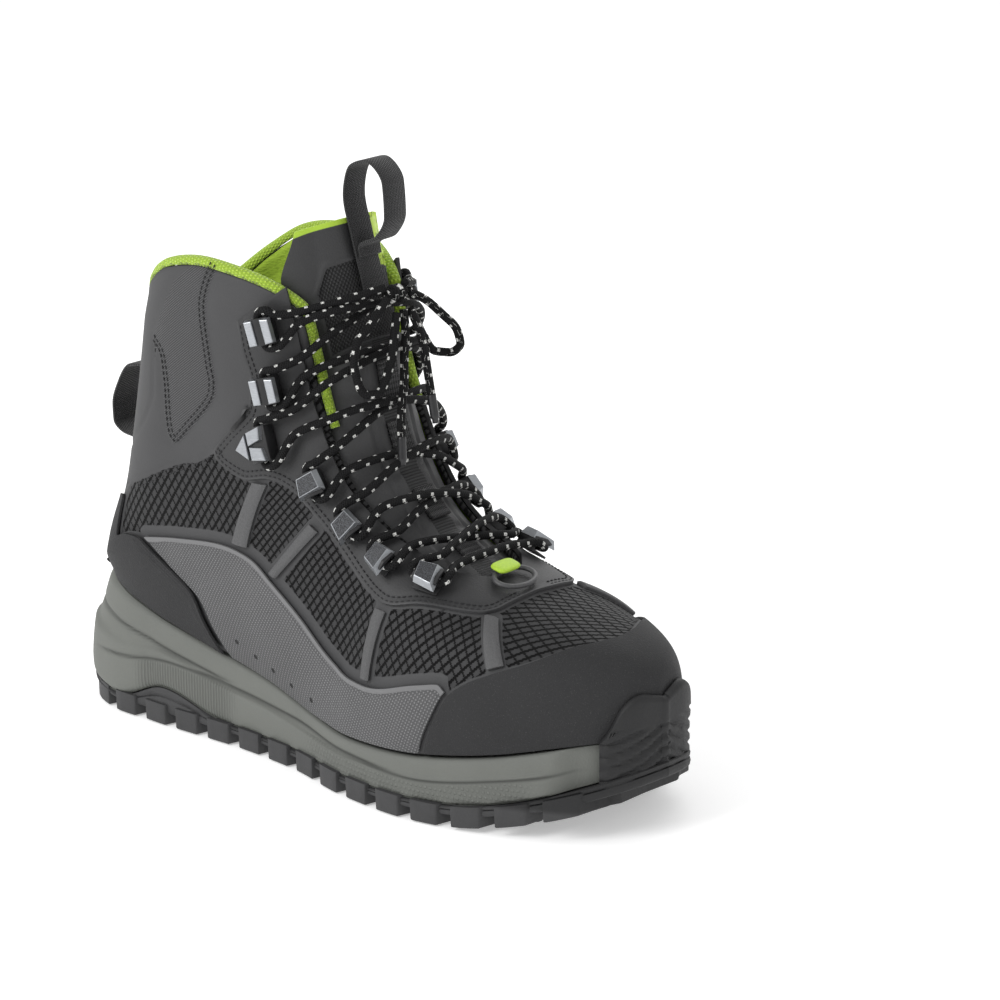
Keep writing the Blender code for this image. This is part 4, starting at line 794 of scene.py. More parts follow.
def section_curve(run, side):
    """Points of one half section, from its foot to its ridge, evenly spaced."""
    def at(name):
        return look_up(SECTIONS, name, run)
    sizes = {"instep": INSTEP_HEIGHT, "collar": COLLAR_HEIGHT}
    ridge_heights = [share * sizes[name] for share, name
                     in zip(column(SECTIONS, "ridge_up"), column(SECTIONS, "of"))]
    ridge_x = HEEL_END + (TOE_END - HEEL_END) * at("ridge")
    ridge = np.array([ridge_x, smooth(column(SECTIONS, "run"), ridge_heights, run)])
    base_x = HEEL_END + (TOE_END - HEEL_END) * at("base")
    foot = float(foot_half_width(base_x, side)[0])
    rim = stack_top(base_x) + 2 * GAP
    if run > HEEL_CORNER:
        runs = [HEEL_CORNER] + [r for r in column(SECTIONS, "run") if r > HEEL_CORNER]
        ups = [u * COLLAR_HEIGHT for u in column(SECTIONS, "base_up") if u > 0]
        backs = [b for b, u in zip(column(SECTIONS, "base"), column(SECTIONS, "base_up")) if u]
        back_x = smooth(runs, [0.0] + backs, run)
        base_x = HEEL_END + (TOE_END - HEEL_END) * back_x
        rim = smooth(runs, [stack_top(HEEL_END) + 2 * GAP] + ups, run)
        foot = 0.0
    elif run > 0.79:
        share = (run - 0.79) / (HEEL_CORNER - 0.79)
        base_x = base_x + (HEEL_END - base_x) * share
        foot = float(foot_half_width(base_x, side)[0])
        rim = stack_top(base_x) + 2 * GAP
    base = np.array([base_x, rim])
    wide = at("outer" if side == LATERAL else "inner") * BALL_WIDTH
    wide = max(wide, foot * FOOT_SWELL)
    widest = at("widest")
    crown = at("crown")
    start = math.asin((foot / wide if wide > 0 else 1 / FOOT_SWELL) ** 1.1)
    low = np.linspace(start, math.pi / 2, 60)
    high = np.linspace(0, math.pi / 2, 140)[1:]
    low_y = wide * np.sin(low) ** (1 / 1.1)
    low_q = widest * (1 - np.cos(low) ** (1 / 1.1) / max(math.cos(start) ** (1 / 1.1), 1e-6))
    high_y = wide * np.cos(high).clip(0) ** (2 / crown)
    high_q = widest + (1 - widest) * np.sin(high) ** (2 / crown)
    y = np.r_[low_y, high_y]
    q = np.r_[low_q, high_q].clip(0, 1)
    points = np.c_[base[0] + q * (ridge[0] - base[0]), side * y, base[1] + q * (ridge[1] - base[1])]
    length = np.r_[0, np.cumsum(np.linalg.norm(np.diff(points, axis=0), axis=1))]
    wanted = np.linspace(0, length[-1], SECTION_COLUMNS)
    return np.array([np.interp(wanted, length, points[:, k]) for k in range(3)]).T


def last_surface():
    """The upper's outer form, as points and outward normals on a lattice of run and rise."""
    runs = np.linspace(0, 1, SECTION_ROWS)
    form = {side: np.array([section_curve(run, side) for run in runs]) for side in (LATERAL, MEDIAL)}
    normal = {}
    for side, points in form.items():
        across = np.cross(np.gradient(points, axis=0), np.gradient(points, axis=1)) * side
        size = np.linalg.norm(across, axis=2)[..., None]
        normal[side] = across / np.maximum(size, 1e-12)
    back = runs >= HEEL_CORNER
    for rows, at in ((slice(None), -1), (back, 0)):
        shared = normal[LATERAL][rows, at] + normal[MEDIAL][rows, at]
        shared[:, 1] = 0.0
        shared /= np.linalg.norm(shared, axis=1)[:, None]
        normal[LATERAL][rows, at] = shared
        normal[MEDIAL][rows, at] = shared
    for side in form:
        normal[side][0] = np.array([1.0, 0.0, 0.0])
    return form, normal


FORM, NORMAL = last_surface()


def on_upper(run, rise, side, lift=0.0):
    """Point of the upper at a run and at a rise from its foot (0) to its ridge (1), lifted off it."""
    r = np.clip(np.asarray(run, float), 0, 1) * (SECTION_ROWS - 1)
    c = np.clip(np.asarray(rise, float), 0, 1) * (SECTION_COLUMNS - 1)
    i = np.minimum(r.astype(int), SECTION_ROWS - 2)
    j = np.minimum(c.astype(int), SECTION_COLUMNS - 2)
    a = (r - i)[..., None]
    b = (c - j)[..., None]

    def mixed(lattice):
        low = lattice[i, j] * (1 - b) + lattice[i, j + 1] * b
        high = lattice[i + 1, j] * (1 - b) + lattice[i + 1, j + 1] * b
        return low * (1 - a) + high * a
    out = mixed(NORMAL[side])
    out = out / np.linalg.norm(out, axis=-1, keepdims=True)
    return mixed(FORM[side]) + out * np.asarray(lift, float)[..., None]


def girth(run, side):
    """Length of a half section from its foot to its ridge."""
    points = on_upper(np.full(60, run), np.linspace(0, 1, 60), side)
    return float(np.linalg.norm(np.diff(points, axis=0), axis=1).sum())


# The throat: half its width, measured over the upper from the ridge, as shares of BALL_WIDTH.
THROAT = (
    ("run", "half"),
    (0.375, 0.000),
    (0.380, 0.070),
    (0.392, 0.130),
    (0.430, 0.180),
    (0.500, 0.215),
    (0.560, 0.245),
    (0.620, 0.280),
    (0.700, 0.305),
    (0.800, 0.320),
    (1.000, 0.330),
)
THROAT_FOOT = THROAT[1][0]
# The collar's edge: its height as a share of COLLAR_HEIGHT, by rise round the shaft.
COLLAR = (
    ("rise", "up"),
    (0.00, 0.825),
    (0.12, 0.850),
    (0.28, 0.930),
    (0.42, 0.985),
    (0.55, 1.000),
    (0.68, 0.988),
    (0.76, 0.965),
    (0.82, 0.925),
)


def throat_rise(run, side):
    """Rise of the throat's edge; 1 where the vamp is closed."""
    half = look_up(THROAT, "half", run) * BALL_WIDTH
    return 1 - half / girth(run, side) if run > THROAT_FOOT else 1.0


def collar_run(rise, side):
    """Run of the collar's edge at a rise."""
    wanted = look_up(COLLAR, "up", rise) * COLLAR_HEIGHT
    runs = np.linspace(HEEL_CORNER + 0.02, 1, 120)
    heights = on_upper(runs, np.full(120, rise), side)[:, 2]
    return float(np.interp(wanted, heights, runs))


def wall_thickness(run, rise):
    """Wall of the upper: plain in the foot, padded from the ankle up."""
    pad = np.clip((run - 0.64) / 0.14, 0, 1) * np.clip((rise - 0.02 + (run - 0.8) * 6) / 0.2, 0, 1)
    return UPPER_WALL + (CUFF_WALL - UPPER_WALL) * pad


def line(table, count):
    """Evenly spaced points of the smooth line through (run, rise) rows."""
    rows = np.array(table, float)
    length = np.r_[0, np.cumsum(np.hypot(*np.diff(rows, axis=0).T))]
    wanted = np.linspace(0, length[-1], count)
    return np.c_[smooth(length, rows[:, 0], wanted), smooth(length, rows[:, 1], wanted)]


def patch(bottom, top, left, right, columns, rows):
    """Run and rise over a four-sided area; bottom and top run from left to right."""
    low = line(bottom, columns)
    high = line(top, columns)
    start = line(left, rows)
    end = line(right, rows)
    u = np.linspace(0, 1, columns)[None, :, None]
    v = np.linspace(0, 1, rows)[:, None, None]
    area = (1 - v) * low[None] + v * high[None] + (1 - u) * start[:, None] + u * end[:, None]
    area -= ((1 - u) * (1 - v) * low[0] + u * (1 - v) * low[-1]
             + (1 - u) * v * high[0] + u * v * high[-1])
    return area[..., 0], area[..., 1]


# Lines over the upper, as rows of run and rise: the side frame's rib, the bars between the mesh
# windows (two corners at the foot and two at the top of each), the eyestay's and the toe cap's
# edges, the twill panel, the welt over the rear window and the panel at the heel.
RIB = ((0.323, 0.300), (0.335, 0.325), (0.362, 0.307), (0.455, 0.237), (0.478, 0.238),
       (0.572, 0.326), (0.622, 0.364), (0.652, 0.382), (0.667, 0.376), (0.752, 0.240))
STRUTS = (
    (((0.682, 0.380), (0.665, 0.400)), ((0.712, 0.560), (0.695, 0.585))),
    (((0.632, 0.385), (0.622, 0.385)), ((0.622, 0.600), (0.606, 0.600))),
    (((0.462, 0.262), (0.446, 0.262)), ((0.476, 0.525), (0.456, 0.528))),
    (((0.272, 0.430), (0.250, 0.470)), ((0.321, 0.690), (0.300, 0.700))),
)
EYESTAY_EDGE = ((0.310, 1.000), (0.309, 0.900), (0.312, 0.768), (0.322, 0.709), (0.413, 0.611),
                (0.468, 0.554), (0.499, 0.565), (0.559, 0.609), (0.615, 0.631), (0.652, 0.635),
                (0.679, 0.623), (0.700, 0.600), (0.729, 0.547), (0.745, 0.545), (0.783, 0.568),
                (0.799, 0.605), (0.812, 0.685), (0.845, 0.686), (0.899, 0.661), (0.936, 0.649))
CAP_EDGE = ((0.350, 0.012), (0.344, 0.080), (0.331, 0.186), (0.316, 0.290), (0.295, 0.351),
            (0.262, 0.416), (0.214, 0.518), (0.176, 0.680), (0.151, 0.840), (0.142, 1.000))
TWILL = ((0.991, 0.420), (0.995, 0.542), (0.987, 0.588), (0.975, 0.549), (0.966, 0.539),
         (0.930, 0.550), (0.904, 0.559), (0.882, 0.568), (0.870, 0.566), (0.848, 0.471),
         (0.844, 0.447), (0.862, 0.404), (0.880, 0.387), (0.929, 0.370), (0.952, 0.355), (0.966, 0.314))
WELT = ((0.844, 0.281), (0.818, 0.447), (0.791, 0.570))
HEEL_PANEL = ((0.965, 0.320), (0.922, 0.330), (0.905, 0.300), (0.898, 0.262), (0.895, 0.170),
              (0.893, 0.0))
FAR = 9.0                   # a distance beyond anything on the boot


def apart(places, rows, side, count=160):
    """Distance of each place from a line over the upper."""
    path = line(rows, count)
    points = on_upper(path[:, 0], path[:, 1], side)
    near = np.full(places.shape[:-1], FAR)
    for point in points:
        near = np.minimum(near, np.linalg.norm(places - point, axis=-1))
    return near


def within(run, rise, rows):
    """Whether each (run, rise) lies inside a closed line."""
    path = line(rows, 120)
    inside = np.zeros(run.shape, bool)
    for (run_a, rise_a), (run_b, rise_b) in zip(path, np.roll(path, -1, 0)):
        crosses = (rise_a > rise) != (rise_b > rise)
        slope = (run_b - run_a) / (rise_b - rise_a + 1e-12)
        inside ^= crosses & (run < run_a + (rise - rise_a) * slope)
    return inside


def outwards(work, heart=(-0.02, 0.0, 0.06)):
    """Turns the faces of an open sheet away from the boot's inside."""
    bmesh.ops.remove_doubles(work, verts=work.verts, dist=WELD)
    bmesh.ops.recalc_face_normals(work, faces=work.faces)
    heart = Vector(heart)
    lean = sum(face.normal.dot(face.calc_center_median() - heart) * face.calc_area()
               for face in work.faces)
    if lean < 0:
        bmesh.ops.reverse_faces(work, faces=work.faces)


UPPER_COLUMNS = 80
TOE_ROWS, THROAT_ROWS, COLLAR_ROWS = 84, 84, 60


def upper_grid(side):
    """Run and rise over one side of the upper, from the toe to the collar's edge."""
    shares = np.linspace(0, 1, UPPER_COLUMNS)
    runs = np.r_[THROAT_FOOT * np.linspace(0, 1, TOE_ROWS) ** 1.25,
                 np.linspace(THROAT_FOOT, HEEL_CORNER, THROAT_ROWS)[1:]]
    rows = [np.c_[np.full(UPPER_COLUMNS, run), shares * throat_rise(run, side)] for run in runs]
    ends = np.array([collar_run(share * throat_rise(0.9, side), side) for share in shares])
    for step in np.linspace(0, 1, COLLAR_ROWS)[1:]:
        run = HEEL_CORNER + (ends - HEEL_CORNER) * step
        rows.append(np.c_[run, shares * [throat_rise(r, side) for r in run]])
    area = np.array(rows)
    return area[..., 0], area[..., 1]


# The mesh windows are sunk where window, the distance inside their borders, is above 0. The
# mesh follows high: the height behind the first bar, and the way up over the upper elsewhere,
# carried on over the ridge to the inner side.
WELT_LONG = ((0.858, 0.190),) + WELT + ((0.770, 0.650),)
WELT_EDGE = 0.0008          # from the welt's line to the window
RIB_EDGE = 0.0046           # from the rib's line to the windows
BAR_EDGE = 0.0042           # from a bar's middle to the windows
BORDER = 0.0012             # from the eyestay and the toe cap to the windows
WINDOW_SINK = 0.00055
work = bmesh.new()
for side in (LATERAL, MEDIAL):
    run, rise = upper_grid(side)
    plain = on_upper(run, rise, side, 0.0)
    rib_rise = np.interp(run, *np.array(RIB).T)
    over_rib = np.where(rise > rib_rise, 1, -1) * apart(plain, RIB, side)
    over_rib = np.where(run < RIB[0][0], FAR, over_rib)
    welt_run = np.interp(rise, [row[1] for row in WELT], [row[0] for row in WELT])
    welt = np.where(run < welt_run, 1, -1) * apart(plain, WELT_LONG, side)
    window = np.minimum(welt - WELT_EDGE, over_rib - RIB_EDGE)
    for low, high in STRUTS:
        middle = (np.mean(low, 0), np.mean(high, 0))
        window = np.minimum(window, apart(plain, middle, side) - BAR_EDGE)
    window = np.minimum(window, apart(plain, EYESTAY_EDGE, side) - BORDER)
    window = np.minimum(window, apart(plain, CAP_EDGE, side) - BORDER)
    window = np.where((run > 0.79) & (welt < 0), -0.01, window)
    twill = np.where(within(run, rise, TWILL), 1, -1) * apart(plain, TWILL + TWILL[:1], side)
    heel = np.where((run > 0.895) & (rise < 0.330), 1, -1) * apart(plain, HEEL_PANEL, side)
    throat_edge = np.c_[run[TOE_ROWS:, -1], rise[TOE_ROWS:, -1]]
    rim = np.minimum(apart(plain, np.c_[run[-1], rise[-1]], side), apart(plain, throat_edge, side))
    padded = np.clip((run - 0.66) / 0.14, 0, 1) * np.clip((run - 0.8) * 9 + rise * 3, 0, 1)
    climb = np.linalg.norm(np.diff(plain, axis=1), axis=2).cumsum(1)
    climb = np.c_[np.zeros(len(climb)), climb] + plain[:, :1, 2]
    first_low, first_high = (np.mean(ends, 0) for ends in STRUTS[0])
    behind = run > np.interp(rise, [first_low[1], first_high[1]], [first_low[0], first_high[0]])
    ahead = run < np.interp(rise, [0.45, 0.695], [0.261, 0.310])
    if side == LATERAL:
        ridge = climb[:, -1:]
        high = climb
    else:
        climb = ridge + climb[:, -1:] - climb
        high = np.where(ahead, climb, ridge * 2 - climb)
    high = np.where(behind, plain[..., 2], high)
    lift = -WINDOW_SINK * ledge(window, 0.0, 0.0009)
    lift += 0.0009 * padded * (1 - np.exp(-np.abs(twill) / 0.004)) * ledge(rim, 0.001, 0.010)
    lift -= 0.0006 * groove(welt, 0.0012) * (rise > 0.2) * (rise < 0.56)
    lift -= 0.0005 * groove(heel, 0.0010) * (rise < 0.34) * (run > 0.88)
    grid(work, on_upper(run, rise, side, lift),
         {"window": window * 1000, "twill": twill * 1000, "rim": rim * 1000, "high": high,
          "ahead": ahead * 1.0, "wall": wall_thickness(run, rise) / CUFF_WALL})
outwards(work)

shell = Finish("upper_cloth")
grain = shell.noise(1300, detail=3.0)
patchy = shell.noise(28, detail=3.0)
where = shell.along_axis(0)
level_up = shell.read("high")
ahead = shell.read("ahead").step(0.3, 0.7)
u = where * (232.0 - ahead * 62.0) + (level_up * 1000.0).wave() * 0.08
v = level_up * (158.0 + ahead * 40.0)
strand_a = abs((u + v) % 1.0 - 0.5)
strand_b = abs((u - v) % 1.0 - 0.5)
mesh_lines = strand_b.step(0.310, 0.355).most(strand_a.step(0.395, 0.430) * 0.9)
scales = strand_a + strand_b
in_window = shell.read("window").step(0.0, 0.5)
in_twill = shell.read("twill").step(-0.3, 0.3)
twill_lines = ((level_up - where * 0.75) * 950.0).wave()
fine = ((where * 1.1 + level_up * 0.6) * 1900.0).wave()
smooth_skin = shell.blend(grain * 0.35 + patchy * 0.45, paint(55, 55, 56), paint(78, 78, 79))
twill_cloth = shell.blend(twill_lines * 0.7 + fine * 0.3, paint(42, 42, 43), paint(90, 90, 91))
window_cloth = shell.blend(grain * 0.5 + (1 - scales) * 0.4, paint(32, 32, 33), paint(58, 58, 59))
window_cloth = shell.blend(mesh_lines, window_cloth, paint(1, 1, 1))
colour = shell.blend(in_twill, smooth_skin, twill_cloth)
colour = shell.blend(in_window, colour, window_cloth)
shell.press(grain * 0.35 * (1 - in_window), 0.00018)
shell.press(twill_lines * in_twill * 0.7, 0.00022)
shell.press((1 - mesh_lines) * in_window + (1 - in_window), 0.0006)
matt = 0.55 + grain * 0.15 + in_twill * 0.1 + mesh_lines * in_window * 0.3
upper_cloth = shell.done(colour, matt, specular_ior_level=0.3)

lining = Finish("knit_lining")
knit = lining.noise(500, lining.spot((1.0, 1.0, 3.0)), detail=2.0)
lime_band = lining.read("rim").step(17.0, 15.5)
dark_knit = lining.blend(knit, paint(20, 20, 22), paint(52, 53, 55))
lime_knit = lining.blend(knit, paint(122, 152, 32), paint(186, 216, 76))
lining.press(knit, 0.0004)
knit_lining = lining.done(lining.blend(lime_band, dark_knit, lime_knit), 0.9)
upper = piece("upper_shell", work, [upper_cloth, knit_lining], node="upper",
              merge=0, turn=False)
walls = upper.vertex_groups.new(name="wall")
for index, value in enumerate(upper.data.attributes["wall"].data):
    walls.add([index], value.value, "REPLACE")
give_wall(upper, CUFF_WALL, lining=True).vertex_group = "wall"


# Outsole's toe wall, in the rubber of the sole: a shield with a rounded top and moulded
# chevron grooves. The table says how far up the toe it reaches, by run from the tip.
GUARD = (
    ("run", "rise"),
    (0.000, 0.97),
    (0.008, 0.88),
    (0.020, 0.74),
    (0.050, 0.49),
    (0.063, 0.34),
    (0.078, 0.12),
    (0.095, 0.00),
)
work = sole
runs = GUARD[-1][0] * np.linspace(0, 1, 26) ** 1.3
off = 2 * GAP + OVERLAY + GAP
walls = {}
for side in (LATERAL, MEDIAL):
    rows = []
    for run in runs:
        top = look_up(GUARD, "rise", run) + 0.02
        walk = on_upper(np.full(26, run), np.linspace(top, 0, 26), side, off)
        outward = on_upper(run, 0.02, side, 1.0) - on_upper(run, 0.02, side, 0.0)
        outward[2] = 0
        outward /= np.linalg.norm(outward)
        foot = on_upper(run, 0.0, side, 0.0) + outward * off
        low = rubber_top(foot[0]) - 0.002
        down = [foot + (low - foot[2]) * d * np.array([0, 0, 1.0]) for d in np.linspace(0, 1, 14)[1:]]
        rows.append(np.r_[walk[:-1], [foot], down])
    walls[side] = np.array(rows)
whole = np.concatenate([walls[LATERAL][::-1], walls[MEDIAL][1:]])
out = np.cross(np.gradient(whole, axis=0), np.gradient(whole, axis=1))
out /= np.linalg.norm(out, axis=2)[..., None]
if out[len(whole) // 2, 20, 0] < 0:
    out = -out
across = whole[..., 1]
height = whole[..., 2]
chevron = (height - 0.030 + np.abs(across) * 0.55) / 0.0052
stripe = ledge(np.abs(chevron % 1.0 - 0.5), 0.16, 0.26)
field = ledge(height, 0.022, 0.026) * ledge(height, 0.0485, 0.0455)
field = field * ledge(np.abs(across), 0.0305, 0.0275)
from_end = np.minimum(np.arange(len(whole)), np.arange(len(whole))[::-1])
thick = np.full(whole.shape[:2], TOE_GUARD - 0.0002)
thick *= np.r_[0.25, 0.60, 0.85, 0.97, np.ones(whole.shape[1] - 4)][None, :]
thick *= np.minimum(1.0, 0.35 + 0.3 * from_end)[:, None]
thick = thick - 0.0008 * field * (1 - stripe) + 0.0002 * field * stripe
outer = whole + out * thick[..., None]
grid(work, outer)
grid(work, whole)
for edge in (np.s_[0], np.s_[-1], np.s_[:, 0], np.s_[:, -1]):
    grid(work, np.array([outer[edge], whole[edge]]))
outsole = piece("rubber_outsole", work, [outsole_rubber], node="outsole",
                merge=3e-5)
soften(outsole, 40)


# Toe cap and heel counter: matt rubberised leather, cut flat, lasted over the toe and heel and
# cemented, with a fine raised edge at the counter's front.
OVERLAY_GAP = 0.0007        # under the overlays, whose facets differ from the upper's
COUNTER_FRONT = ((0.640, 0.012), (0.661, 0.092), (0.685, 0.162), (0.725, 0.196), (0.757, 0.232))
COUNTER_TOP = ((0.757, 0.232), (0.800, 0.236), (0.833, 0.228), (0.852, 0.120), (0.858, 0.000))


# Half girth of the upper by run, which turns rise into a way up for the weave.
GIRTHS = ((0.0, 0.015), (0.1, 0.049), (0.3, 0.090), (0.5, 0.112), (0.6, 0.134), (0.7, 0.176),
          (0.8, 0.235))


def laid(name, areas, materials, node, gap=OVERLAY_GAP, bevel=0.0005, relief=None, sink=0.0):
    """An overlay on the upper: grids of run and rise, given a wall and a rounded edge."""
    work = bmesh.new()
    for side, run, rise in areas:
        lift = np.full(run.shape, gap + OVERLAY)
        marks = {"high": rise * np.interp(run, *np.array(GIRTHS).T)}
        if relief:
            more, extra = relief(run, rise, side, on_upper(run, rise, side, 0.0))
            lift = lift + more
            marks.update(extra)
        grid(work, on_upper(run, rise, side, lift), marks)
    outwards(work)
    thing = piece(name, work, materials, node=node, merge=0, turn=False)
    give_wall(thing, OVERLAY + sink)
    round_edges(thing, bevel, angle=50)


leather = Finish("cap_leather")
pores = leather.cells(1500)
grain = leather.noise(1100, detail=3.0, rough=0.6)
cloud = leather.noise(30, detail=3.0)
speck = leather.noise(2600, detail=1.0).step(0.66, 0.74)
leather.press(pores * 0.5 + grain * 0.5, 0.00028)
colour = leather.blend(grain * 0.5 + cloud * 0.35, paint(30, 30, 31), paint(53, 53, 54))
colour = leather.blend(speck * 0.45, colour, paint(90, 90, 90))
cap_leather = leather.done(colour, 0.66 + grain * 0.15, specular_ior_level=0.3)

CAP_MIDDLE = CAP_EDGE[-1][0]
areas = []
for side in (LATERAL, MEDIAL):
    runs = CAP_MIDDLE * np.linspace(0, 1, 34) ** 1.2
    rises = np.linspace(0.010, 1.0, 50)
    areas.append((side, *np.meshgrid(runs, rises, indexing="ij")))
    back_edge = np.c_[np.full(50, CAP_MIDDLE), rises]
    edge = line(CAP_EDGE, 50)
    shares = np.linspace(0, 1, 30)[:, None, None]
    rest = back_edge[None] * (1 - shares) + edge[None] * shares
    areas.append((side, rest[..., 0], rest[..., 1]))
laid("leather_toe_cap", areas, [cap_leather], "toe_cap")


def counter_edge(run, rise, side, places):
    away = apart(places, COUNTER_FRONT, side)
    ridges = 0.5 + 0.5 * np.cos(away / 0.0016 * 2 * np.pi)
    return 0.00028 * ridges * ledge(away, 0.0052, 0.0042) - 0.0001, {}


COUNTER_FOOT = ((0.640, 0.014), (0.700, 0.014), (0.770, 0.010), (0.800, 0.004), (0.811, 0.000))
COUNTER_BACK = ((0.811, 0.000), (0.858, 0.000))
areas = []
for side in (LATERAL, MEDIAL):
    areas.append((side, *patch(COUNTER_FOOT, COUNTER_TOP, COUNTER_FRONT, COUNTER_BACK, 110, 40)))
laid("leather_heel_counter", areas, [cap_leather], "heel_counter",
     gap=2 * OVERLAY_GAP, relief=counter_edge)

# Side frames: a rubber film with an embossed weave, welded over the lower quarter, with a
# bright rib along its top edge. Raised bars of grained film part the mesh windows.
film = Finish("frame_film")
where = film.along_axis(0)
level_up = film.read("high")
u = where * 640.0 - level_up * 320.0
v = where * 320.0 + level_up * 640.0
weave = (u.wave() * v.wave()).math("SQRT")
knots = (u.wave() * v.wave()).step(0.30, 0.75)
rib_mask = film.read("rib").step(0.35, 0.65)
hole = film.read("hole").step(1.3, 0.9)
grain = film.noise(1700, detail=3.0)
cloud = film.noise(24, detail=3.0)
film.press(weave * (1 - rib_mask) * 0.8 + grain * rib_mask * 0.4, 0.0003)
film.press(1 - hole, 0.0012)
colour = film.blend(knots * 0.75 + cloud * 0.3, paint(62, 62, 63), paint(118, 118, 119))
colour = film.blend(rib_mask, colour, paint(108, 108, 109))
# Painted shade: the pinholes are coloured near black.
colour = film.blend(hole, colour, paint(12, 12, 12))
frame_film = film.done(colour, 0.50 + grain * 0.12, specular_ior_level=0.4)
PINHOLES = ((0.630, 0.100), (0.608, 0.087), (0.586, 0.078), (0.562, 0.072), (0.534, 0.070))


def frame_relief(run, rise, side, places):
    away = apart(places, RIB, side)
    rib = ledge(away, 0.0024, 0.0016)
    holes = np.full(run.shape, FAR)
    for run_at, rise_at in PINHOLES:
        spot = on_upper(run_at, rise_at, side, 0.0)
        holes = np.minimum(holes, np.linalg.norm(places - spot, axis=-1))
    front = apart(places, CAP_EDGE[:4], side)
    lift = 0.00035 * rib - 0.0003 * groove(away - 0.0030, 0.0007)
    return lift - 0.0002 * groove(front - 0.003, 0.0007), {"rib": rib, "hole": holes * 1000}


FRAME_FOOT = ((0.358, 0.012), (0.632, 0.012))
FRAME_FRONT = ((0.358, 0.012), (0.352, 0.080), (0.339, 0.186), (0.325, 0.290), (0.323, 0.300))
FRAME_BACK = tuple((run - 0.008, rise) for run, rise in COUNTER_FRONT[:-1]) + RIB[-1:]
for side, word in WORDS.items():
    area = (side, *patch(FRAME_FOOT, RIB, FRAME_FRONT, FRAME_BACK, 170, 56))
    laid("film_side_frame_" + word, [area], [frame_film], "side_frame_" + word,
         relief=frame_relief)

bar_film = grained("bar_film", 1500, 0.0003, (58, 58, 59), (90, 90, 91), 0.6, 0.0,
                   detail=3.0, rough=0.7)
BAR_CROWN = np.interp(np.linspace(0, 1, 9), [0, 0.25, 0.75, 1], [-0.0004, 0.0003, 0.0003, -0.0004])


def bar_relief(run, rise, side, places):
    return np.broadcast_to(BAR_CROWN, run.shape), {}


for side, word in WORDS.items():
    for index, ((low_a, low_b), (high_a, high_b)) in enumerate(STRUTS):
        ends = ((low_a, low_b), (high_a, high_b), (low_a, high_a), (low_b, high_b))
        name = "%s_%d" % (word, index + 1)
        laid("film_bar_" + name, [(side, *patch(*ends, 9, 40))], [bar_film], "strut_" + name,
             bevel=0.0003, sink=0.0011, relief=bar_relief)

# Eyestay: smooth coated microfibre, doubled and edge-folded, that carries the hooks. It is
# sewn down with two rows of black thread.
EYESTAY_REACH = 0.945       # run at which the eyestay ends below the collar
STEP_BACK = 0.016           # rise left free beside the throat's edge


def eyestay_inner(side, count):
    """The eyestay's edge beside the throat, from the front centre up."""
    foot = THROAT_FOOT - 0.010
    runs = np.r_[foot, foot + 0.001, np.linspace(foot + 0.004, EYESTAY_REACH, 30)]
    edge = [min(0.93, throat_rise(max(run, THROAT_FOOT + 0.001), side)) for run in runs[2:]]
    rises = [1.0, 0.97] + [rise - STEP_BACK for rise in edge]
    return line(np.c_[runs, rises], count)


skin = Finish("eyestay_film")
grain = skin.noise(1500, detail=3.0)
cloud = skin.noise(26, detail=3.0)
# Painted highlight: lighter within about a millimetre of the eyestay's lower edge.
edge_highlight = skin.read("edge").step(1.1, 0.3)
skin.press(grain, 0.00012)
colour = skin.blend(grain * 0.3 + cloud * 0.5, paint(36, 36, 37), paint(57, 57, 58))
eyestay_film = skin.done(skin.blend(edge_highlight * 0.5, colour, paint(72, 72, 73)), 0.48 + grain * 0.15,
                         specular_ior_level=0.45)


def eyestay_relief(run, rise, side, places):
    away = apart(places, EYESTAY_EDGE, side)
    return -0.00025 * groove(away - 0.0033, 0.0016), {"edge": away * 1000}


areas = []
for side in (LATERAL, MEDIAL):
    edge = line(EYESTAY_EDGE, 150)
    inner = eyestay_inner(side, 150)
    v = np.linspace(0, 1, 24)[:, None, None]
    area = (1 - v) * edge[None] + v * inner[None]
    areas.append((side, area[..., 0], area[..., 1]))
laid("film_eyestay", areas, [eyestay_film], "eyestay", relief=eyestay_relief,
     sink=0.0007)

# Stitching: bonded nylon thread, in double rows along the seams, pulled into the cover.
thread = Finish("black_thread")
ply = thread.noise(3000, thread.spot((1.0, 3.0, 1.0)), detail=1.0)
thread.press(ply, 0.0002)
black_thread = thread.done(thread.blend(ply, paint(12, 12, 13), paint(40, 40, 42)), 0.7)
STITCH = 0.0025
stitch = bmesh.new()
bmesh.ops.create_uvsphere(stitch, u_segments=6, v_segments=4, radius=1.0,
                          matrix=Matrix.Diagonal((STITCH * 0.40, 0.00038, 0.00030, 1.0)))
stitch_mesh = bpy.data.meshes.new("stitch")
stitch.to_mesh(stitch_mesh)
stitch.free()


def sew(work, rows, side, lift, shift=0.0):
    """One row of stitches along a seam, moved sideways over the upper by shift."""
    path = line(rows, 400)
    places = on_upper(path[:, 0], path[:, 1], side, lift)
    outs = on_upper(path[:, 0], path[:, 1], side, lift + 1.0) - places
    runs_on, _ = walk_along(places)
    asides = np.cross(outs, runs_on)
    places = places + asides * shift
    _, walked = walk_along(places)
    for at in np.arange(STITCH / 2, walked[-1], STITCH):
        k = min(int(np.searchsorted(walked, at)), 399)
        place = [np.interp(at, walked, places[:, axis]) for axis in range(3)]
        turn = Matrix((runs_on[k], asides[k], outs[k])).transposed().to_4x4()
        turn.translation = place
        first = len(work.verts)
        work.from_mesh(stitch_mesh)
        work.verts.ensure_lookup_table()
        bmesh.ops.transform(work, matrix=turn, verts=work.verts[first:])


ON_FILM = OVERLAY_GAP + OVERLAY
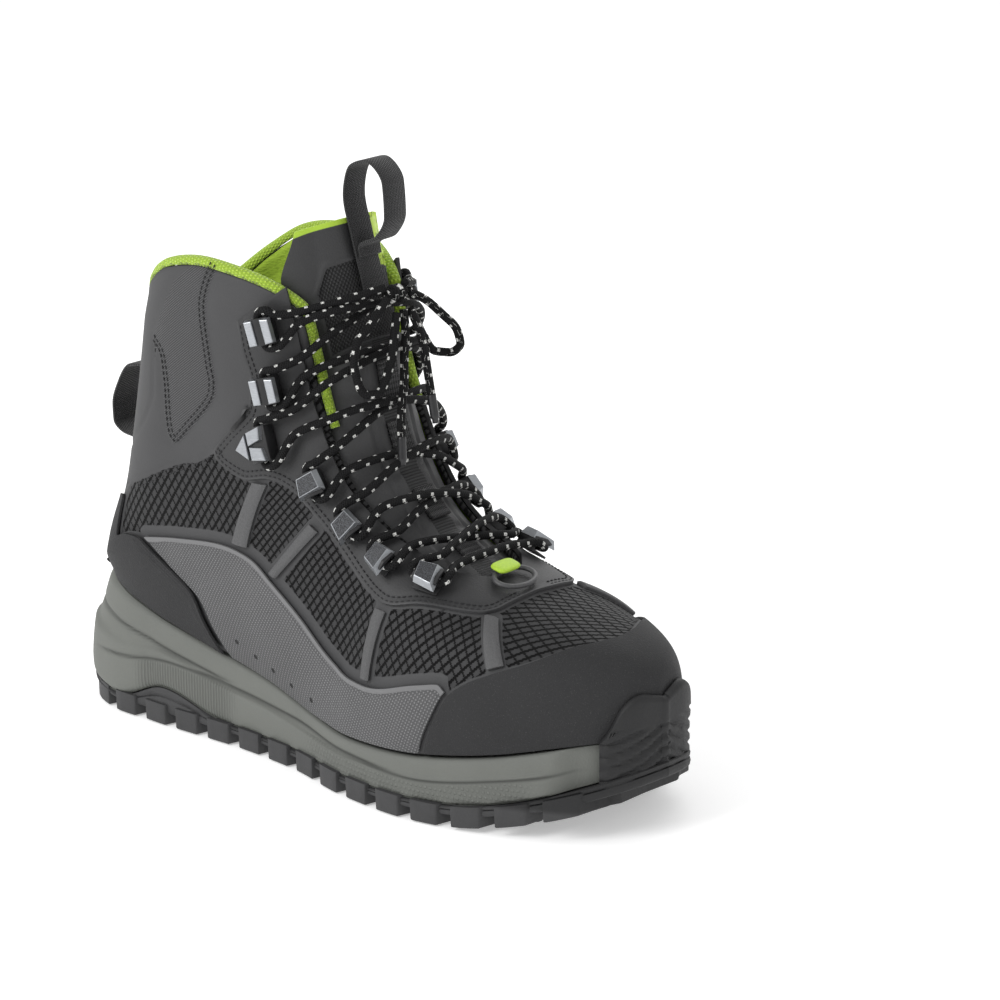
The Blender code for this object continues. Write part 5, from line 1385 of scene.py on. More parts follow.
# Seams: line, lift of the thread over the upper's form, and each row's shift from the line.
SEAMS = (
    (EYESTAY_EDGE[1:], ON_FILM - 0.0001, (-0.0013, -0.0034)),
    (TWILL[2:], 0.0006, (-0.0012, -0.0034)),
    (WELT, 0.0003, (-0.0014, -0.0034)),
    (HEEL_PANEL, 0.0002, (0.0016,)),
)
for side, word in WORDS.items():
    work = bmesh.new()
    for rows, lift, shifts in SEAMS:
        for shift in shifts:
            sew(work, rows, side, lift, -side * shift)
    piece("stitches_" + word, work, [black_thread], merge=0, turn=False)


# Collar edge: a lime spacer knit, folded over the cuff's rim and run down beside the throat.
COLLAR_EDGE_FOOT = 0.690    # run at which the knit edge ends beside the throat
lime = Finish("lime_knit")
along = lime.read("along")
across = lime.read("across")
rows_up = along * 0.62
row = rows_up.math("FLOOR")
loops = rows_up.wave() * (across * 0.75 + (row % 2.0) * 0.5).wave()
fuzz = lime.noise(1800, detail=2.0)
lime.press(loops * 0.8 + fuzz * 0.2, 0.0007)
holes = loops.step(0.16, 0.04)
colour = lime.blend(fuzz * 0.4 + loops * 0.6, paint(140, 174, 34), paint(198, 228, 80))
lime_finish = lime.done(lime.blend(holes * 0.30, colour, paint(70, 90, 18)), 0.85, sheen_weight=0.2)
# Section of the edge: shares of the wall across it, and heights over its rim.
RIM = ((0.00, 0.0), (0.03, 0.0010), (0.02, 0.0021), (-0.10, 0.0031), (-0.35, 0.0036), (-0.65, 0.0036),
       (-0.90, 0.0030), (-1.02, 0.0019), (-1.05, 0.0008), (-1.02, 0.0), (0.00, 0.0))
edges = {}
for side in (LATERAL, MEDIAL):
    run, rise = upper_grid(side)
    down = [(run[k, -1], rise[k, -1]) for k in range(len(run) - 2, 0, -1)
            if run[k, -1] > COLLAR_EDGE_FOOT]
    run, rise = np.array(list(zip(run[-1], rise[-1])) + down).T
    point = on_upper(run, rise, side)
    edges[side] = (point, on_upper(run, rise, side, 1.0) - point, wall_thickness(run, rise))
edge, out, wall = (np.concatenate([outer[::-1], inner[1:]])
                   for outer, inner in zip(edges[LATERAL], edges[MEDIAL]))
for _ in range(12):
    edge[1:-1] = edge[1:-1] * 0.5 + (edge[:-2] + edge[2:]) * 0.25
run_on, walked = walk_along(edge)
away = np.cross(out, run_on)
away /= np.linalg.norm(away, axis=1)[:, None]
if away[len(away) // 2, 2] < 0:
    away = -away
rings = np.array([edge + out * (share * wall)[:, None] + away * (GAP + up) for share, up in RIM])
rings = rings.transpose(1, 0, 2)


def tube(work, rings, marks, dist=WELD):
    """A closed tube of a grid of rings, with its ends filled."""
    grid(work, rings, marks)
    bmesh.ops.remove_doubles(work, verts=work.verts, dist=dist)
    bmesh.ops.holes_fill(work, edges=[item for item in work.edges if item.is_boundary])


work = bmesh.new()
tube(work, rings, {"along": walked[:, None] * 1000, "across": np.arange(len(RIM))[None] * 1.1})
piece("knit_collar_edge", work, [lime_finish], node="collar_edge", merge=0)


# Tongue: smooth coated cloth over foam, with a mesh panel framed by a welt, quilted seams and
# a lime knit edge and back. Rows of run, half width (share of BALL_WIDTH) and middle's lift.
TONGUE = (
    ("run", "half", "lift"),
    (0.350, 0.150, -0.0034),
    (0.400, 0.235, -0.0034),
    (0.500, 0.300, -0.0026),
    (0.620, 0.355, -0.0022),
    (0.760, 0.375, -0.0020),
    (0.880, 0.380, -0.0020),
    (0.950, 0.350, -0.0016),
    (0.985, 0.240, -0.0012),
)


def tongue_lift(run, rise):
    """The tongue's outer face: under the upper's wall at its sides, higher in the middle."""
    middle = look_up(TONGUE, "lift", run)
    edge = -(wall_thickness(run, 0.8) + 0.0012)
    open_throat = np.clip((run - 0.392) / 0.03, 0, 1)
    return edge + (middle - edge) * ledge(rise, 0.86, 0.96) * open_throat


TONGUE_WALL = 0.0042
soft = Finish("tongue_cloth")
grain = soft.noise(1400, detail=3.0)
cloud = soft.noise(40, detail=3.0)
patchy = grain * 0.3 + cloud * 0.4
u = soft.read("around") * 0.55
v = soft.read("along") * 0.42
airy = (abs((u + v) % 1.0 - 0.5) + abs((u - v) % 1.0 - 0.5)).step(0.30, 0.70)
in_mesh = soft.read("mesh").step(0.0, 0.5)
top_edge = soft.read("top").step(2.4, 1.9)
lower = soft.read("lower").step(0.0, 1.0)
ladder = (v * 2.2).wave().step(0.35, 0.65)
strip = soft.read("strip").step(0.0, 0.4)
bare = soft.read("lining").step(0.0, 0.6)
soft.press(grain * 0.3 + airy * in_mesh, 0.0005)
soft.press(ladder * strip, 0.0006)
colour = soft.blend(patchy, paint(32, 32, 33), paint(58, 58, 59))
colour = soft.blend(lower, colour, soft.blend(patchy, paint(44, 44, 45), paint(74, 74, 75)))
colour = soft.blend(strip, colour, soft.blend(ladder, paint(9, 9, 10), paint(46, 46, 47)))
colour = soft.blend(in_mesh, colour, soft.blend(airy, paint(12, 12, 12), paint(50, 50, 51)))
colour = soft.blend(top_edge, colour, paint(160, 192, 58))
net = soft.cells(430).step(0.15, 0.5)
colour = soft.blend(bare, colour, soft.blend(net, paint(84, 106, 20), paint(184, 214, 66)))
tongue_cloth = soft.done(colour, 0.5 + in_mesh * 0.3 + top_edge * 0.3)
back_knit = Finish("lime_lining")
net = back_knit.cells(420)
back_knit.press(net, 0.0006)
colour = back_knit.blend(net.step(0.15, 0.55), paint(66, 84, 18), paint(176, 207, 72))
lime_back = back_knit.done(colour, 0.9)
PANEL_FOOT, PANEL_TOP, PANEL_HALF = 0.800, 0.945, 0.0270
TONGUE_FOOT, TONGUE_TOP = TONGUE[1][0], TONGUE[-1][0]
QUILTED_TOP = 0.79          # run at which the quilting ends
QUILTS = (0.49, 0.59, 0.68, 0.775)


def tongue_out(run, rise, side):
    """Lift of the tongue's face with its quilting, and its masks."""
    wide = np.array([girth(r, side) for r in run[:, 0]])[:, None]
    off = (1 - rise) * wide
    lift = tongue_lift(run, rise)
    panel = np.minimum(np.minimum(run - PANEL_FOOT, PANEL_TOP - run) * 0.22, PANEL_HALF - off)
    panel = np.minimum(panel, ((PANEL_TOP - run) * 0.22 + PANEL_HALF - 0.0075 - off) * 0.7)
    lift = lift - 0.0007 * ledge(panel, 0.0, 0.0010) + 0.0006 * groove(panel + 0.0004, 0.0008)
    quilt = np.minimum.reduce([np.abs(run - r) * 0.20 for r in QUILTS])
    quilt = np.minimum(quilt, np.abs(off - 0.0125))
    lift = lift - 0.0009 * groove(quilt, 0.0016) * (run < QUILTED_TOP) * (off < 0.014)
    inner = np.minimum(off - 0.0068, (run - 0.925) * 0.22) if side == MEDIAL else -1.0 + 0 * off
    strip = np.minimum(0.0060 - off, (PANEL_FOOT - run) * 0.3)
    return lift, {"mesh": panel * 1000, "top": (TONGUE_TOP - run) * 620, "lining": inner * 1000,
                  "around": off * 1000, "along": run * 250.0, "lower": (QUILTED_TOP - run) * 600,
                  "strip": strip * 1000}


INSIDE_TONGUE = (-0.06, 0.0, 0.06)
work = bmesh.new()
runs = np.linspace(TONGUE_FOOT, TONGUE_TOP, 150)
for side in (LATERAL, MEDIAL):
    half = look_up(TONGUE, "half", runs) * BALL_WIDTH
    half = half * (1 + 0.16 * ledge(runs, 0.90, 0.97))
    low = 1 - half / np.array([girth(r, side) for r in runs])
    rise = low[:, None] + (1 - low[:, None]) * np.linspace(0, 1, 34)[None]
    run = np.broadcast_to(runs[:, None], rise.shape)
    lift, marks = tongue_out(run, rise, side)
    grid(work, on_upper(run, rise, side, lift), marks)
outwards(work, INSIDE_TONGUE)
tongue = piece("padded_tongue", work, [tongue_cloth, lime_back], node="tongue",
               merge=0, turn=False)
give_wall(tongue, TONGUE_WALL, lining=True)
round_edges(tongue, 0.0012, segments=3, angle=60)


# Webbing: black woven nylon. Ribbed keepers on the tongue hold the lace in line, and loops at
# the tongue and the heel are for pulling the boot on. Keepers: first and last run of each.
TONGUE_KEEPERS = ((0.425, 0.470), (0.510, 0.560), (0.605, 0.655), (0.690, 0.755))
TONGUE_KEEPER_WIDTH = 0.0115
WEBBING_WIDTH, WEBBING_WALL, HEEL_LOOP_WIDTH = 0.0125, 0.0014, 0.020
web = Finish("black_webbing")
u = web.read("along")
v = web.read("across")
warp = (v * 1.1).wave()
weft = (u * 0.9 + (v * 1.1).math("FLOOR") * 0.5).wave()
fuzz = web.noise(2200, detail=2.0)
ladder = (u * 0.42).wave().step(0.35, 0.65) * web.read("ladder")
web.press(warp * 0.4 + weft * 0.5 + fuzz * 0.2 + ladder * 0.9, 0.0005)
colour = web.blend(weft * 0.6 + fuzz * 0.4, paint(11, 11, 12), paint(36, 36, 37))
webbing = web.done(web.blend(ladder * 0.6, colour, paint(64, 64, 65)), 0.8, sheen_weight=0.15)
for index, (low, high) in enumerate(TONGUE_KEEPERS):
    work = bmesh.new()
    for side in (LATERAL, MEDIAL):
        runs = np.linspace(low, high, 26)
        foot = np.array([1 - TONGUE_KEEPER_WIDTH / 2 / girth(r, side) for r in runs])
        rise = foot[:, None] + (1 - foot[:, None]) * np.linspace(0, 1, 8)[None]
        run = np.broadcast_to(runs[:, None], rise.shape)
        lift = tongue_lift(run, 1.0) + GAP + WEBBING_WALL
        grid(work, on_upper(run, rise, side, lift),
             {"along": run * 260.0, "across": side * (1 - rise) * 120.0, "ladder": 1.0})
    outwards(work, INSIDE_TONGUE)
    keeper = piece("webbing_keeper_%d" % (index + 1), work, [webbing],
                   node="tongue_keeper_%d" % (index + 1), merge=0, turn=False)
    give_wall(keeper, WEBBING_WALL)
    round_edges(keeper, 0.0004)
# Runs where the webbing loops are sewn to what carries them.
HEEL_LOOP_RUNS = (0.901, 0.955, 0.962)
TONGUE_LOOP_RUNS = (0.945, 0.958, 0.972)
# How the loops stand off, as rows of x and z from the sewn end that they leave.
HEEL_LOOP_BOW = ((-0.0075, 0.0), (-0.0165, -0.0012), (-0.0235, -0.0100), (-0.0272, -0.0205),
                 (-0.0268, -0.0278), (-0.0203, -0.0322))
TONGUE_LOOP_BOW = ((-0.004, 0.016), (-0.001, 0.028), (0.009, 0.032), (0.018, 0.024), (0.019, 0.010),
                   (0.014, 0.001))


def curve(rows, count):
    """Smooth line through rows of points, evenly resampled."""
    rows = np.asarray(rows, float)
    length = np.r_[0, np.cumsum(np.linalg.norm(np.diff(rows, axis=0), axis=1))]
    wanted = np.linspace(0, length[-1], count)
    return np.array([smooth(length, rows[:, k], wanted) for k in range(rows.shape[1])]).T


# Section of the webbing, as shares of its thickness and width.
STRAP = np.array(((0.0, -0.5), (0.30, -0.5), (0.5, -0.47), (0.5, 0.47), (0.30, 0.5), (-0.30, 0.5),
                  (-0.5, 0.47), (-0.5, -0.47), (-0.30, -0.5), (0.0, -0.5)))


def strap(name, path, width, node, curl=0.0):
    """Webbing along a path in the boot's middle plane, with soft edges and a slight curl."""
    run_on, walked = walk_along(path)
    thick, wide = STRAP.T
    off = thick * WEBBING_WALL + np.broadcast_to(curl, len(path))[:, None] * (0.25 - wide * wide)
    rows = np.stack([path[:, :1] - run_on[:, 1:] * off, np.broadcast_to(wide * width, off.shape),
                     path[:, 1:] + run_on[:, :1] * off], axis=-1)
    work = bmesh.new()
    tube(work, rows, {"along": walked[:, None] * 1000, "across": wide[None] * width * 1000,
                      "ladder": 0.0})
    piece(name, work, [webbing], node=node, merge=0)


def on_tongue(run, layers):
    lift = float(tongue_lift(run, 1.0)) + layers * (GAP + WEBBING_WALL)
    return on_upper(run, 1.0, LATERAL, lift)[[0, 2]]


low, top, end = (on_upper(run, 0.0, LATERAL, GAP + WEBBING_WALL)[[0, 2]] for run in HEEL_LOOP_RUNS)
rows = curve([end, top] + [top + step for step in HEEL_LOOP_BOW] + [low], 90)
strap("heel_pull_loop", rows, HEEL_LOOP_WIDTH, "heel_loop")
low, middle, high = TONGUE_LOOP_RUNS
rows = [on_tongue(run, 1) for run in (0.885, 0.915, low, high)]
rows += [on_tongue(high, 1) + step for step in TONGUE_LOOP_BOW]
rows = curve(rows + [on_tongue(middle, 2.4), on_tongue(low, 2.2)], 150)
strap("tongue_pull_loop", rows, WEBBING_WIDTH, "tongue_loop", 0.0012 * np.sin(np.linspace(0, 9, 150)))


# Lace hooks: stamped steel, bright zinc finish, each riveted to the eyestay on a black base.
# The low four have a dark faceted face, the fifth is an arrow-shaped lock, the top two are
# open with a dark channel. The table has a row for each pair, from the toe up.
HOOKS = (
    ("run", "rise", "long"),
    (0.421, 0.700, 0.0112),
    (0.499, 0.676, 0.0102),
    (0.572, 0.690, 0.0102),
    (0.646, 0.700, 0.0102),
    (0.734, 0.672, 0.0150),
    (0.816, 0.752, 0.0115),
    (0.906, 0.738, 0.0115),
)
HOOK_LIFT = 2 * GAP + OVERLAY + 0.0005
# Profile of a hook from the throat side outwards: reach and height.
HOOK_PROFILE = ((0.0042, 0.0), (0.0042, 0.0064), (-0.0012, 0.0078), (-0.0046, 0.0070),
                (-0.0046, 0.0060), (0.0024, 0.0056), (0.0024, 0.0012), (-0.0052, 0.0010), (-0.0052, 0.0))


def hook_frame(index, side):
    """Place, and directions up the throat, outwards from it and off the upper."""
    run, rise = HOOKS[index + 1][:2]
    place = on_upper(run, rise, side, HOOK_LIFT)
    off = on_upper(run, rise, side, HOOK_LIFT + 1.0) - place
    a = on_upper(run - 0.03, throat_rise(run - 0.03, side), side)
    b = on_upper(run + 0.03, throat_rise(run + 0.03, side), side)
    up = b - a
    up -= off * up.dot(off)
    up /= np.linalg.norm(up)
    inward = np.cross(up, off)
    middle = on_upper(run, 1.0, side) - place
    if inward.dot(middle) < 0:
        inward = -inward
    return place, up, inward, off


steel = Finish("hook_metal")
brushed = steel.noise(500, steel.spot((1.0, 1.0, 9.0)), detail=3.0)
scuffs = steel.noise(260, detail=4.0, rough=0.7).step(0.60, 0.72)
steel.press(brushed, 0.00005)
colour = steel.blend(brushed * 0.6 + scuffs * 0.2, paint(140, 143, 147), paint(206, 209, 213))
hook_steel = steel.done(colour, 0.26 + brushed * 0.18, metallic=0.85)
facet = Finish("hook_facet")
flecks = facet.cells(1900)
facet.press(flecks, 0.0002)
hook_facet = facet.done(facet.blend(flecks.step(0.2, 0.7), paint(16, 16, 18), paint(62, 64, 68)),
                        0.30 + flecks * 0.2)
hook_base = grained("hook_base", 900, 0.0001, (14, 14, 15), (34, 34, 36), 0.45, 0.15)


def raised(work, outline, low, high, inset, sink, finish_in, place, axes, shrink=0.90, shift=0.0):
    """A plate on a hook: an outline in (up, reach), raised, with a rim round an inner face."""
    up, inward, off = axes
    verts = [work.verts.new(place + up * a + inward * b + off * low) for a, b in outline]
    face = work.faces.new(verts)
    made = bmesh.ops.extrude_face_region(work, geom=[face])["geom"]
    bmesh.ops.translate(work, vec=Vector(off * (high - low)),
                        verts=[item for item in made if isinstance(item, bmesh.types.BMVert)])
    top = [item for item in made if isinstance(item, bmesh.types.BMFace)]
    middle = sum((vert.co for vert in top[0].verts), Vector()) / len(top[0].verts)
    for vert in top[0].verts:
        vert.co = middle + (vert.co - middle) * shrink + Vector(up * shift)
    bmesh.ops.inset_region(work, faces=top, thickness=inset, depth=0.0)
    bmesh.ops.translate(work, vec=Vector(off * sink), verts=list(top[0].verts))
    top[0].material_index = finish_in


for side, word in ((LATERAL, "outer"), (MEDIAL, "inner")):
    for index in range(7):
        place, up, inward, off = hook_frame(index, side)
        long = HOOKS[index + 1][2]
        work = bmesh.new()
        profile = [place + up * (-long / 2) + inward * reach + off * height
                   for reach, height in HOOK_PROFILE]
        face = work.faces.new([work.verts.new(point) for point in profile])
        made = bmesh.ops.extrude_face_region(work, geom=[face])["geom"]
        bmesh.ops.translate(work, vec=Vector(up * long),
                            verts=[item for item in made if isinstance(item, bmesh.types.BMVert)])
        for item in work.faces:
            item.material_index = 2
        bmesh.ops.bevel(work, geom=list(work.edges), offset=0.0003, segments=2, affect="EDGES",
                        profile=0.5, material=-1)
        axes = (up, inward, off)
        half = long / 2
        if index < 4:
            outline = [(-half * 0.80, 0.0052), (half * 0.95, 0.0046), (half * 0.80, -0.0052),
                       (-half, -0.0072)]
            raised(work, outline, 0.0052, 0.0086, 0.0004, 0.0002, 1, place, axes, 0.80, half * 0.10)
        elif index == 4:
            raised(work, [(0.0, -0.0118), (half * 0.80, -0.0052), (-half * 0.80, -0.0052)][::-1],
                   0.0052, 0.0080, 0.0005, 0.0003, 0, place, axes)
            raised(work, [(half * 0.80, -0.0042), (half, 0.0036), (half * 0.22, 0.0026), (0.0, -0.0042)],
                   0.0056, 0.0088, 0.0006, 0.0003, 0, place, axes)
            raised(work, [(0.0, -0.0042), (-half * 0.22, 0.0026), (-half, 0.0036),
                          (-half * 0.80, -0.0042)],
                   0.0056, 0.0084, 0.0006, 0.0003, 0, place, axes)
        else:
            raised(work, [(-half, -0.0060), (half, -0.0060), (half, -0.0022), (-half, -0.0022)][::-1],
                   0.0056, 0.0082, 0.0005, 0.0002, 0, place, axes)
            raised(work, [(-half * 0.92, 0.0054), (half * 0.92, 0.0054), (half, 0.0014),
                          (-half, 0.0014)],
                   0.0056, 0.0084, 0.0005, 0.0002, 0, place, axes)
        bmesh.ops.recalc_face_normals(work, faces=work.faces)
        hook = piece("steel_hook_%s_%d" % (word, index + 1), work, [hook_steel, hook_facet, hook_base],
                     node="hook_%s_%d" % (word, index + 1), merge=0, turn=False)
        soften(hook, 25)


# Lace: round braided polyester, black with paired white flecks, laced in crosses from a bar
# at the lowest hooks, round the outer side of every hook, and tied in a bow on the tongue.
LACE_DIAMETER = 0.0036


def over(run, across, lift):
    """Point over the boot's front; across is from the ridge, positive on the inner side."""
    side = MEDIAL if across > 0 else LATERAL
    return on_upper(run, 1 - abs(across) / girth(run, side), side, lift)


def hook_across(index, side):
    """Distance over the upper from the ridge to a hook."""
    run, rise = HOOKS[index + 1][:2]
    return side * (1 - rise) * girth(run, side)


# The lace's clearance: it leaves a hook this far towards the throat and this far up or down.
LEAVE_IN = 0.0066
LEAVE_ALONG = 0.011         # in run
LACE_AT_HOOK = 0.0066       # lift of the lace's middle over the upper's form
braid = Finish("lace_cord")
u = braid.read("along")
v = braid.read("across")
spot = u * (1 / 7) + (v * 2.0).math("FLOOR") * 0.5
phase = spot % 1.0
turn = (v * 2.0) % 1.0
fleck_a = abs(phase - 0.32).step(0.12, 0.08) * abs(turn - 0.34).step(0.15, 0.11)
fleck_b = abs(phase - 0.46).step(0.12, 0.08) * abs(turn - 0.66).step(0.15, 0.11)
white = fleck_a.most(fleck_b)
plait = (u * 0.95 + v * 6.0).wave().most((u * 0.95 - v * 6.0).wave())
braid.press(plait, 0.00045)
colour = braid.blend(plait, paint(3, 3, 3), paint(24, 24, 25))
colour = braid.blend(white, colour, braid.blend(plait, paint(150, 150, 148), paint(236, 236, 232)))
lace_cord = braid.done(colour, 0.75, specular_ior_level=0.2)


def laced(name, points, radius, node=None, count=None, swell=None, sides=14):
    """A round lace as a mesh tube along a smooth path, with marks along and round it."""
    points = np.asarray(points, float)
    length = np.linalg.norm(np.diff(points, axis=0), axis=1).sum()
    path = curve(points, count or max(12, int(length / 0.0011)))
    run_on, walked = walk_along(path)
    side_on = np.cross(run_on[0], (0.0, 0.3, 1.0))
    angles = 2 * np.pi * np.arange(sides + 1) / sides
    rings = []
    for k, (point, forward) in enumerate(zip(path, run_on)):
        side_on = side_on - forward * side_on.dot(forward)
        side_on /= np.linalg.norm(side_on)
        up_on = np.cross(forward, side_on)
        size = radius if swell is None else swell(walked[k], angles)[:, None]
        rings.append(point + size * (np.cos(angles)[:, None] * side_on
                                     + np.sin(angles)[:, None] * up_on))
    work = bmesh.new()
    tube(work, np.array(rings), {"along": walked[:, None] * 1000,
                                 "across": (angles / 2 / np.pi)[None]}, dist=1e-5)
    thing = piece(name, work, [lace_cord], node=node, merge=0)
    return thing, path, float(walked[-1])


def round_hook(index, side, upward):
    """The lace's way past a hook, through its channel on the side away from the throat."""
    place, up, inward, off = hook_frame(index, side)
    half = HOOKS[index + 1][2] / 2
    steps = ((-half - 0.0022, 0.0040, 0.0044), (-half - 0.0020, 0.0004, 0.0040),
             (-half * 0.6, -0.0018, 0.0035), (0.0, -0.0020, 0.0034), (half * 0.6, -0.0018, 0.0035),
             (half + 0.0020, 0.0004, 0.0040), (half + 0.0022, 0.0040, 0.0044))
    rows = [place + up * a + inward * b + off * c for a, b, c in steps]
    return rows if upward else rows[::-1]


def crossing(start, end, lift):
    """A stretch over the tongue from above one hook to below the next."""
    ends = []
    for index, side, step in (start, end):
        ends.append((HOOKS[index + 1][0] + step, hook_across(index, side) - side * LEAVE_IN))
    rows = []
    for t in (0.10, 0.25, 0.40, 0.50, 0.60, 0.75, 0.90):
        run = ends[0][0] * (1 - t) + ends[1][0] * t
        across = ends[0][1] * (1 - t) + ends[1][1] * t
        drop = (lift - LACE_AT_HOOK) * math.sin(math.pi * t) ** 0.8
        rows.append(over(run, across, LACE_AT_HOOK + drop))
    return rows


KNOT = np.array([0.01212, 0.0, 0.20058])
route = {}
for first in (LATERAL, MEDIAL):
    rows = []
    side = first
    for index in range(7):
        rows += round_hook(index, side, True)
        if index < 6:
            lift = 0.0052 if (side == LATERAL) == (index % 2 == 0) else 0.0016
            rows += crossing((index, side, LEAVE_ALONG), (index + 1, -side, -LEAVE_ALONG), lift)
            side = -side
    across = hook_across(6, side) - side * LEAVE_IN
    start = over(HOOKS[7][0] + LEAVE_ALONG, across, LACE_AT_HOOK)
    last = KNOT + np.array([0.0, side * 0.0058, 0.0035])
    rows += [start, (start + last) / 2 + np.array([0.0030, 0.0, 0.0]), last]
    route[first] = rows
bar = [over(HOOKS[1][0] - LEAVE_ALONG, across, 0.0040 + 0.0016 * abs(across) / 0.03)
       for across in np.linspace(-0.020, 0.020, 7)]
whole = route[LATERAL][::-1] + bar + route[MEDIAL]
laced("lace_crossed", whole, LACE_DIAMETER / 2,
      ["lace_row_%d" % k for k in range(1, 8)] + ["lace_top_outer", "lace_top_inner"])
KNOT_HALF = 0.0056          # half the knot's length


def knot_swell(at, angles):
    """Radius of the knot: three turns of the lace, thinner towards the ends."""
    turns = np.abs(np.cos(at / LACE_DIAMETER * np.pi + np.sin(angles) * 0.5))
    return (0.0030 + 0.0012 * turns) * (1 - 0.45 * abs(at - KNOT_HALF) ** 2 / KNOT_HALF ** 2)


def aglet_swell(at, angles):
    return np.full(len(angles), 0.0019 if at < 0.010 else 0.0014)


middle = [KNOT + np.array([0.0, y, 0.0]) for y in (-KNOT_HALF, -0.003, 0, 0.003, KNOT_HALF)]
knot, _, _ = laced("lace_bow_knot", middle, 0.0, "lace_knot", count=30, swell=knot_swell)
# Routes of the bow's loops and ends from the knot, as rows of x, y and z from the knot's middle.
BOW = {
    "lace_loop_inner": ((0.002, 0.0065, 0.000), (0.006, 0.012, -0.004), (0.010, 0.017, -0.010),
                        (0.015, 0.021, -0.017), (0.016, 0.022, -0.023), (0.012, 0.020, -0.027),
                        (0.008, 0.015, -0.026), (0.006, 0.011, -0.020), (0.004, 0.008, -0.012),
                        (0.003, 0.0055, -0.0062)),
    "lace_loop_outer": ((0.003, -0.0075, 0.000), (0.002, -0.012, -0.005), (0.001, -0.017, -0.011),
                        (-0.001, -0.022, -0.017), (-0.001, -0.024, -0.025), (0.001, -0.024, -0.033),
                        (0.004, -0.022, -0.038), (0.006, -0.018, -0.038), (0.007, -0.014, -0.033),
                        (0.007, -0.010, -0.024), (0.006, -0.007, -0.014), (0.005, -0.0045, -0.0064)),
    "lace_end_outer": ((0.005, -0.0005, -0.0058), (0.0065, -0.001, -0.014), (0.0075, -0.003, -0.024),
                       (0.009, -0.005, -0.036), (0.010, -0.008, -0.048), (0.012, -0.010, -0.060)),
    "lace_end_inner": ((0.0060, 0.0030, -0.0070), (0.010, 0.0032, -0.014), (0.0125, 0.004, -0.024),
                       (0.0145, 0.004, -0.034), (0.0165, 0.004, -0.044)),
}
aglet_finish = grained("aglet", 700, 0.0, (16, 16, 17), (40, 40, 42), 0.25, 0.1)
for name, steps in BOW.items():
    points = [KNOT + np.array(step) for step in steps]
    made, path, length = laced(name.replace("lace", "lace_free"), points, LACE_DIAMETER / 2, name)
    tips = [knot] if name == "lace_loop_outer" else []
    if "end" in name:
        tip = path[-1]
        forward = path[-1] - path[-3]
        forward /= np.linalg.norm(forward)
        points = [tip - forward * 0.0030, tip + forward * 0.0030, tip + forward * 0.0090]
        sleeve, _, _ = laced(name.replace("lace_end", "aglet"), points, 0.0, count=16,
                             swell=aglet_swell)
        sleeve.data.materials[0] = aglet_finish
        tips.append(sleeve)
    "fitting" if "end" in name else "object"
    "hanging" if "end" in name else "loose"


# Lace keeper: an oval ring of grey nylon with a lime rubber tab, riveted to the vamp below the
# throat. Its middle's place on the upper, its outer size and the ring's thickness.
KEEPER_RUN = 0.343
KEEPER_RISE = 0.965
KEEPER_ACROSS = 0.0205
KEEPER_ALONG = 0.0135
KEEPER_WIRE = 0.0021
TAB_SIZE = (0.0115, 0.0075, 0.0016)


def keeper_frame():
    lift = OVERLAY_GAP + OVERLAY + GAP
    place = on_upper(KEEPER_RUN, KEEPER_RISE, LATERAL, lift)
    off = on_upper(KEEPER_RUN, KEEPER_RISE, LATERAL, lift + 1.0) - place
    along = on_upper(KEEPER_RUN + 0.02, KEEPER_RISE, LATERAL, lift) - place
    along -= off * along.dot(off)
    along /= np.linalg.norm(along)
    return place, along, np.cross(off, along), off


ring_plastic = grained("ring_plastic", 900, 0.00008, (52, 52, 53), (84, 84, 85), 0.4, 0.15)
lime_rubber = grained("lime_rubber", 1100, 0.0001, (146, 184, 34), (186, 218, 66), 0.45, 0.2)
place, along, across, off = keeper_frame()
rows = []
for angle in np.linspace(0, 2 * math.pi, 61):
    out = along * math.cos(angle) * KEEPER_ALONG / 2 + across * math.sin(angle) * KEEPER_ACROSS / 2
    centre = place + out + off * (KEEPER_WIRE / 2 + GAP)
    out = out / np.linalg.norm(out)
    rows.append([centre + KEEPER_WIRE / 2 * (out * math.cos(t) * 1.15 + off * math.sin(t))
                 for t in np.linspace(0, 2 * math.pi, 13)])
work = bmesh.new()
grid(work, np.array(rows))
piece("nylon_keeper_ring", work, [ring_plastic], node="lace_keeper_ring")
wide, long, thick = np.array(TAB_SIZE) * (1.15, 1.05, 1.0)
centre = place + along * KEEPER_ALONG * 0.42 + off * (KEEPER_WIRE + 2 * GAP)
# The tab from its foot up: shares of its thickness and of its width.
TAB_SHAPE = ((0.0, 0.0), (0.0, 0.86), (0.12, 0.96), (0.5, 1.0), (0.85, 0.94), (1.0, 0.82),
             (1.08, 0.45), (1.10, 0.0))
rows = []
for height, size in TAB_SHAPE:
    row = []
    for angle in np.linspace(0, 2 * math.pi, 41):
        bulge = (abs(math.cos(angle)) ** 4 + abs(math.sin(angle)) ** 4) ** -0.25
        row.append(centre + across * math.cos(angle) * bulge * wide / 2 * size
                   + along * math.sin(angle) * bulge * long / 2 * size + off * thick * height)
    rows.append(row)
work = bmesh.new()
grid(work, np.array(rows))
piece("rubber_keeper_tab", work, [lime_rubber], node="lace_keeper_tab")


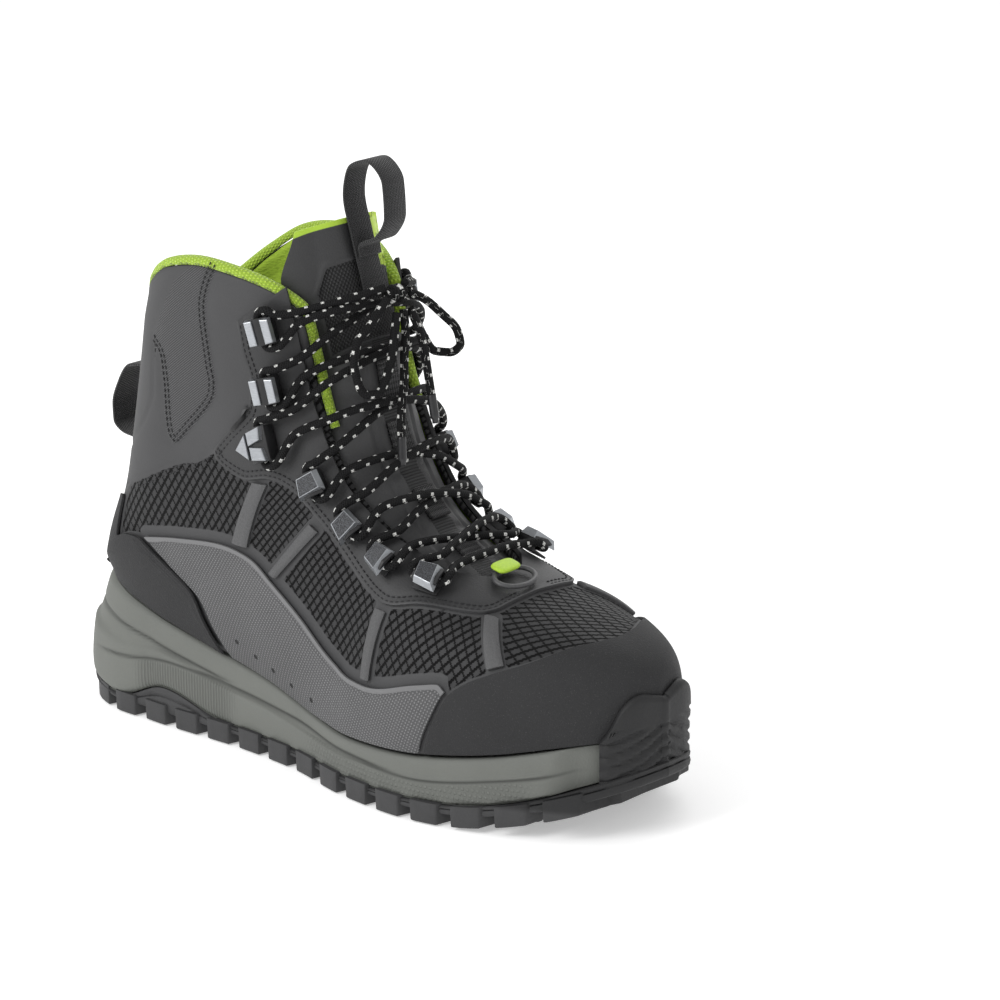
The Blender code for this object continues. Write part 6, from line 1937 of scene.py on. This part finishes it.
# Photographer's table: a plain pale floor, soft light from above and both sides, and a camera
# that stands where the photograph's stood.
floor = bmesh.new()
bmesh.ops.create_grid(floor, x_segments=2, y_segments=2, size=6.0)
mesh = bpy.data.meshes.new("floor")
floor.to_mesh(mesh)
floor.free()
ground_plane = bpy.data.objects.new("floor", mesh)
ground_plane.location.z = -0.0005
bpy.context.scene.collection.objects.link(ground_plane)
table = Finish("table_top")
speck = table.noise(40, detail=2.0)
mesh.materials.append(table.done(table.blend(speck * 0.2, (0.90, 0.90, 0.90), (0.93, 0.93, 0.93)), 0.9,
                                 emission_color=(1.0, 1.0, 1.0, 1.0), emission_strength=0.35,
                                 specular_ior_level=0.1))

world = bpy.data.worlds.new("studio")
world.use_nodes = True
world.node_tree.nodes["Background"].inputs["Color"].default_value = (1.0, 1.0, 1.0, 1.0)
world.node_tree.nodes["Background"].inputs["Strength"].default_value = 0.66
bpy.context.scene.world = world
bpy.context.scene.view_settings.view_transform = "Standard"
for name, place, target, size, power in (
        ("key", (-0.25, -1.35, 1.05), (0.0, 0.0, 0.10), 0.8, 14.0),
        ("fill", (-1.1, -0.6, 0.7), (0.0, 0.0, 0.10), 1.0, 3.0),
        ("toe", (1.3, 0.2, 0.6), (0.05, 0.0, 0.06), 0.8, 1.5),
        ("back", (-0.4, 1.2, 0.9), (0.0, 0.0, 0.10), 1.0, 6.0)):
    data = bpy.data.lights.new(name, "AREA")
    data.size = size
    data.energy = power
    light = bpy.data.objects.new(name, data)
    light.location = place
    light.rotation_euler = (Vector(target) - Vector(place)).to_track_quat("-Z", "Y").to_euler()
    bpy.context.scene.collection.objects.link(light)

lens = bpy.data.cameras.new("camera")
lens.sensor_width = 36.0
lens.lens = 166.93
camera = bpy.data.objects.new("camera", lens)
right = Vector((0.74741258, 0.66432629, -0.00670989))
top = Vector((-0.18581743, 0.2187327, 0.95792896))
back = Vector((0.63784506, -0.71472134, 0.28692697))
turned = Matrix((right, top, back)).transposed().to_4x4()
turned.translation = (1.27126 + ORIGIN_X, -1.35178, 0.66569)
camera.matrix_world = turned
bpy.context.scene.collection.objects.link(camera)
bpy.context.scene.camera = camera
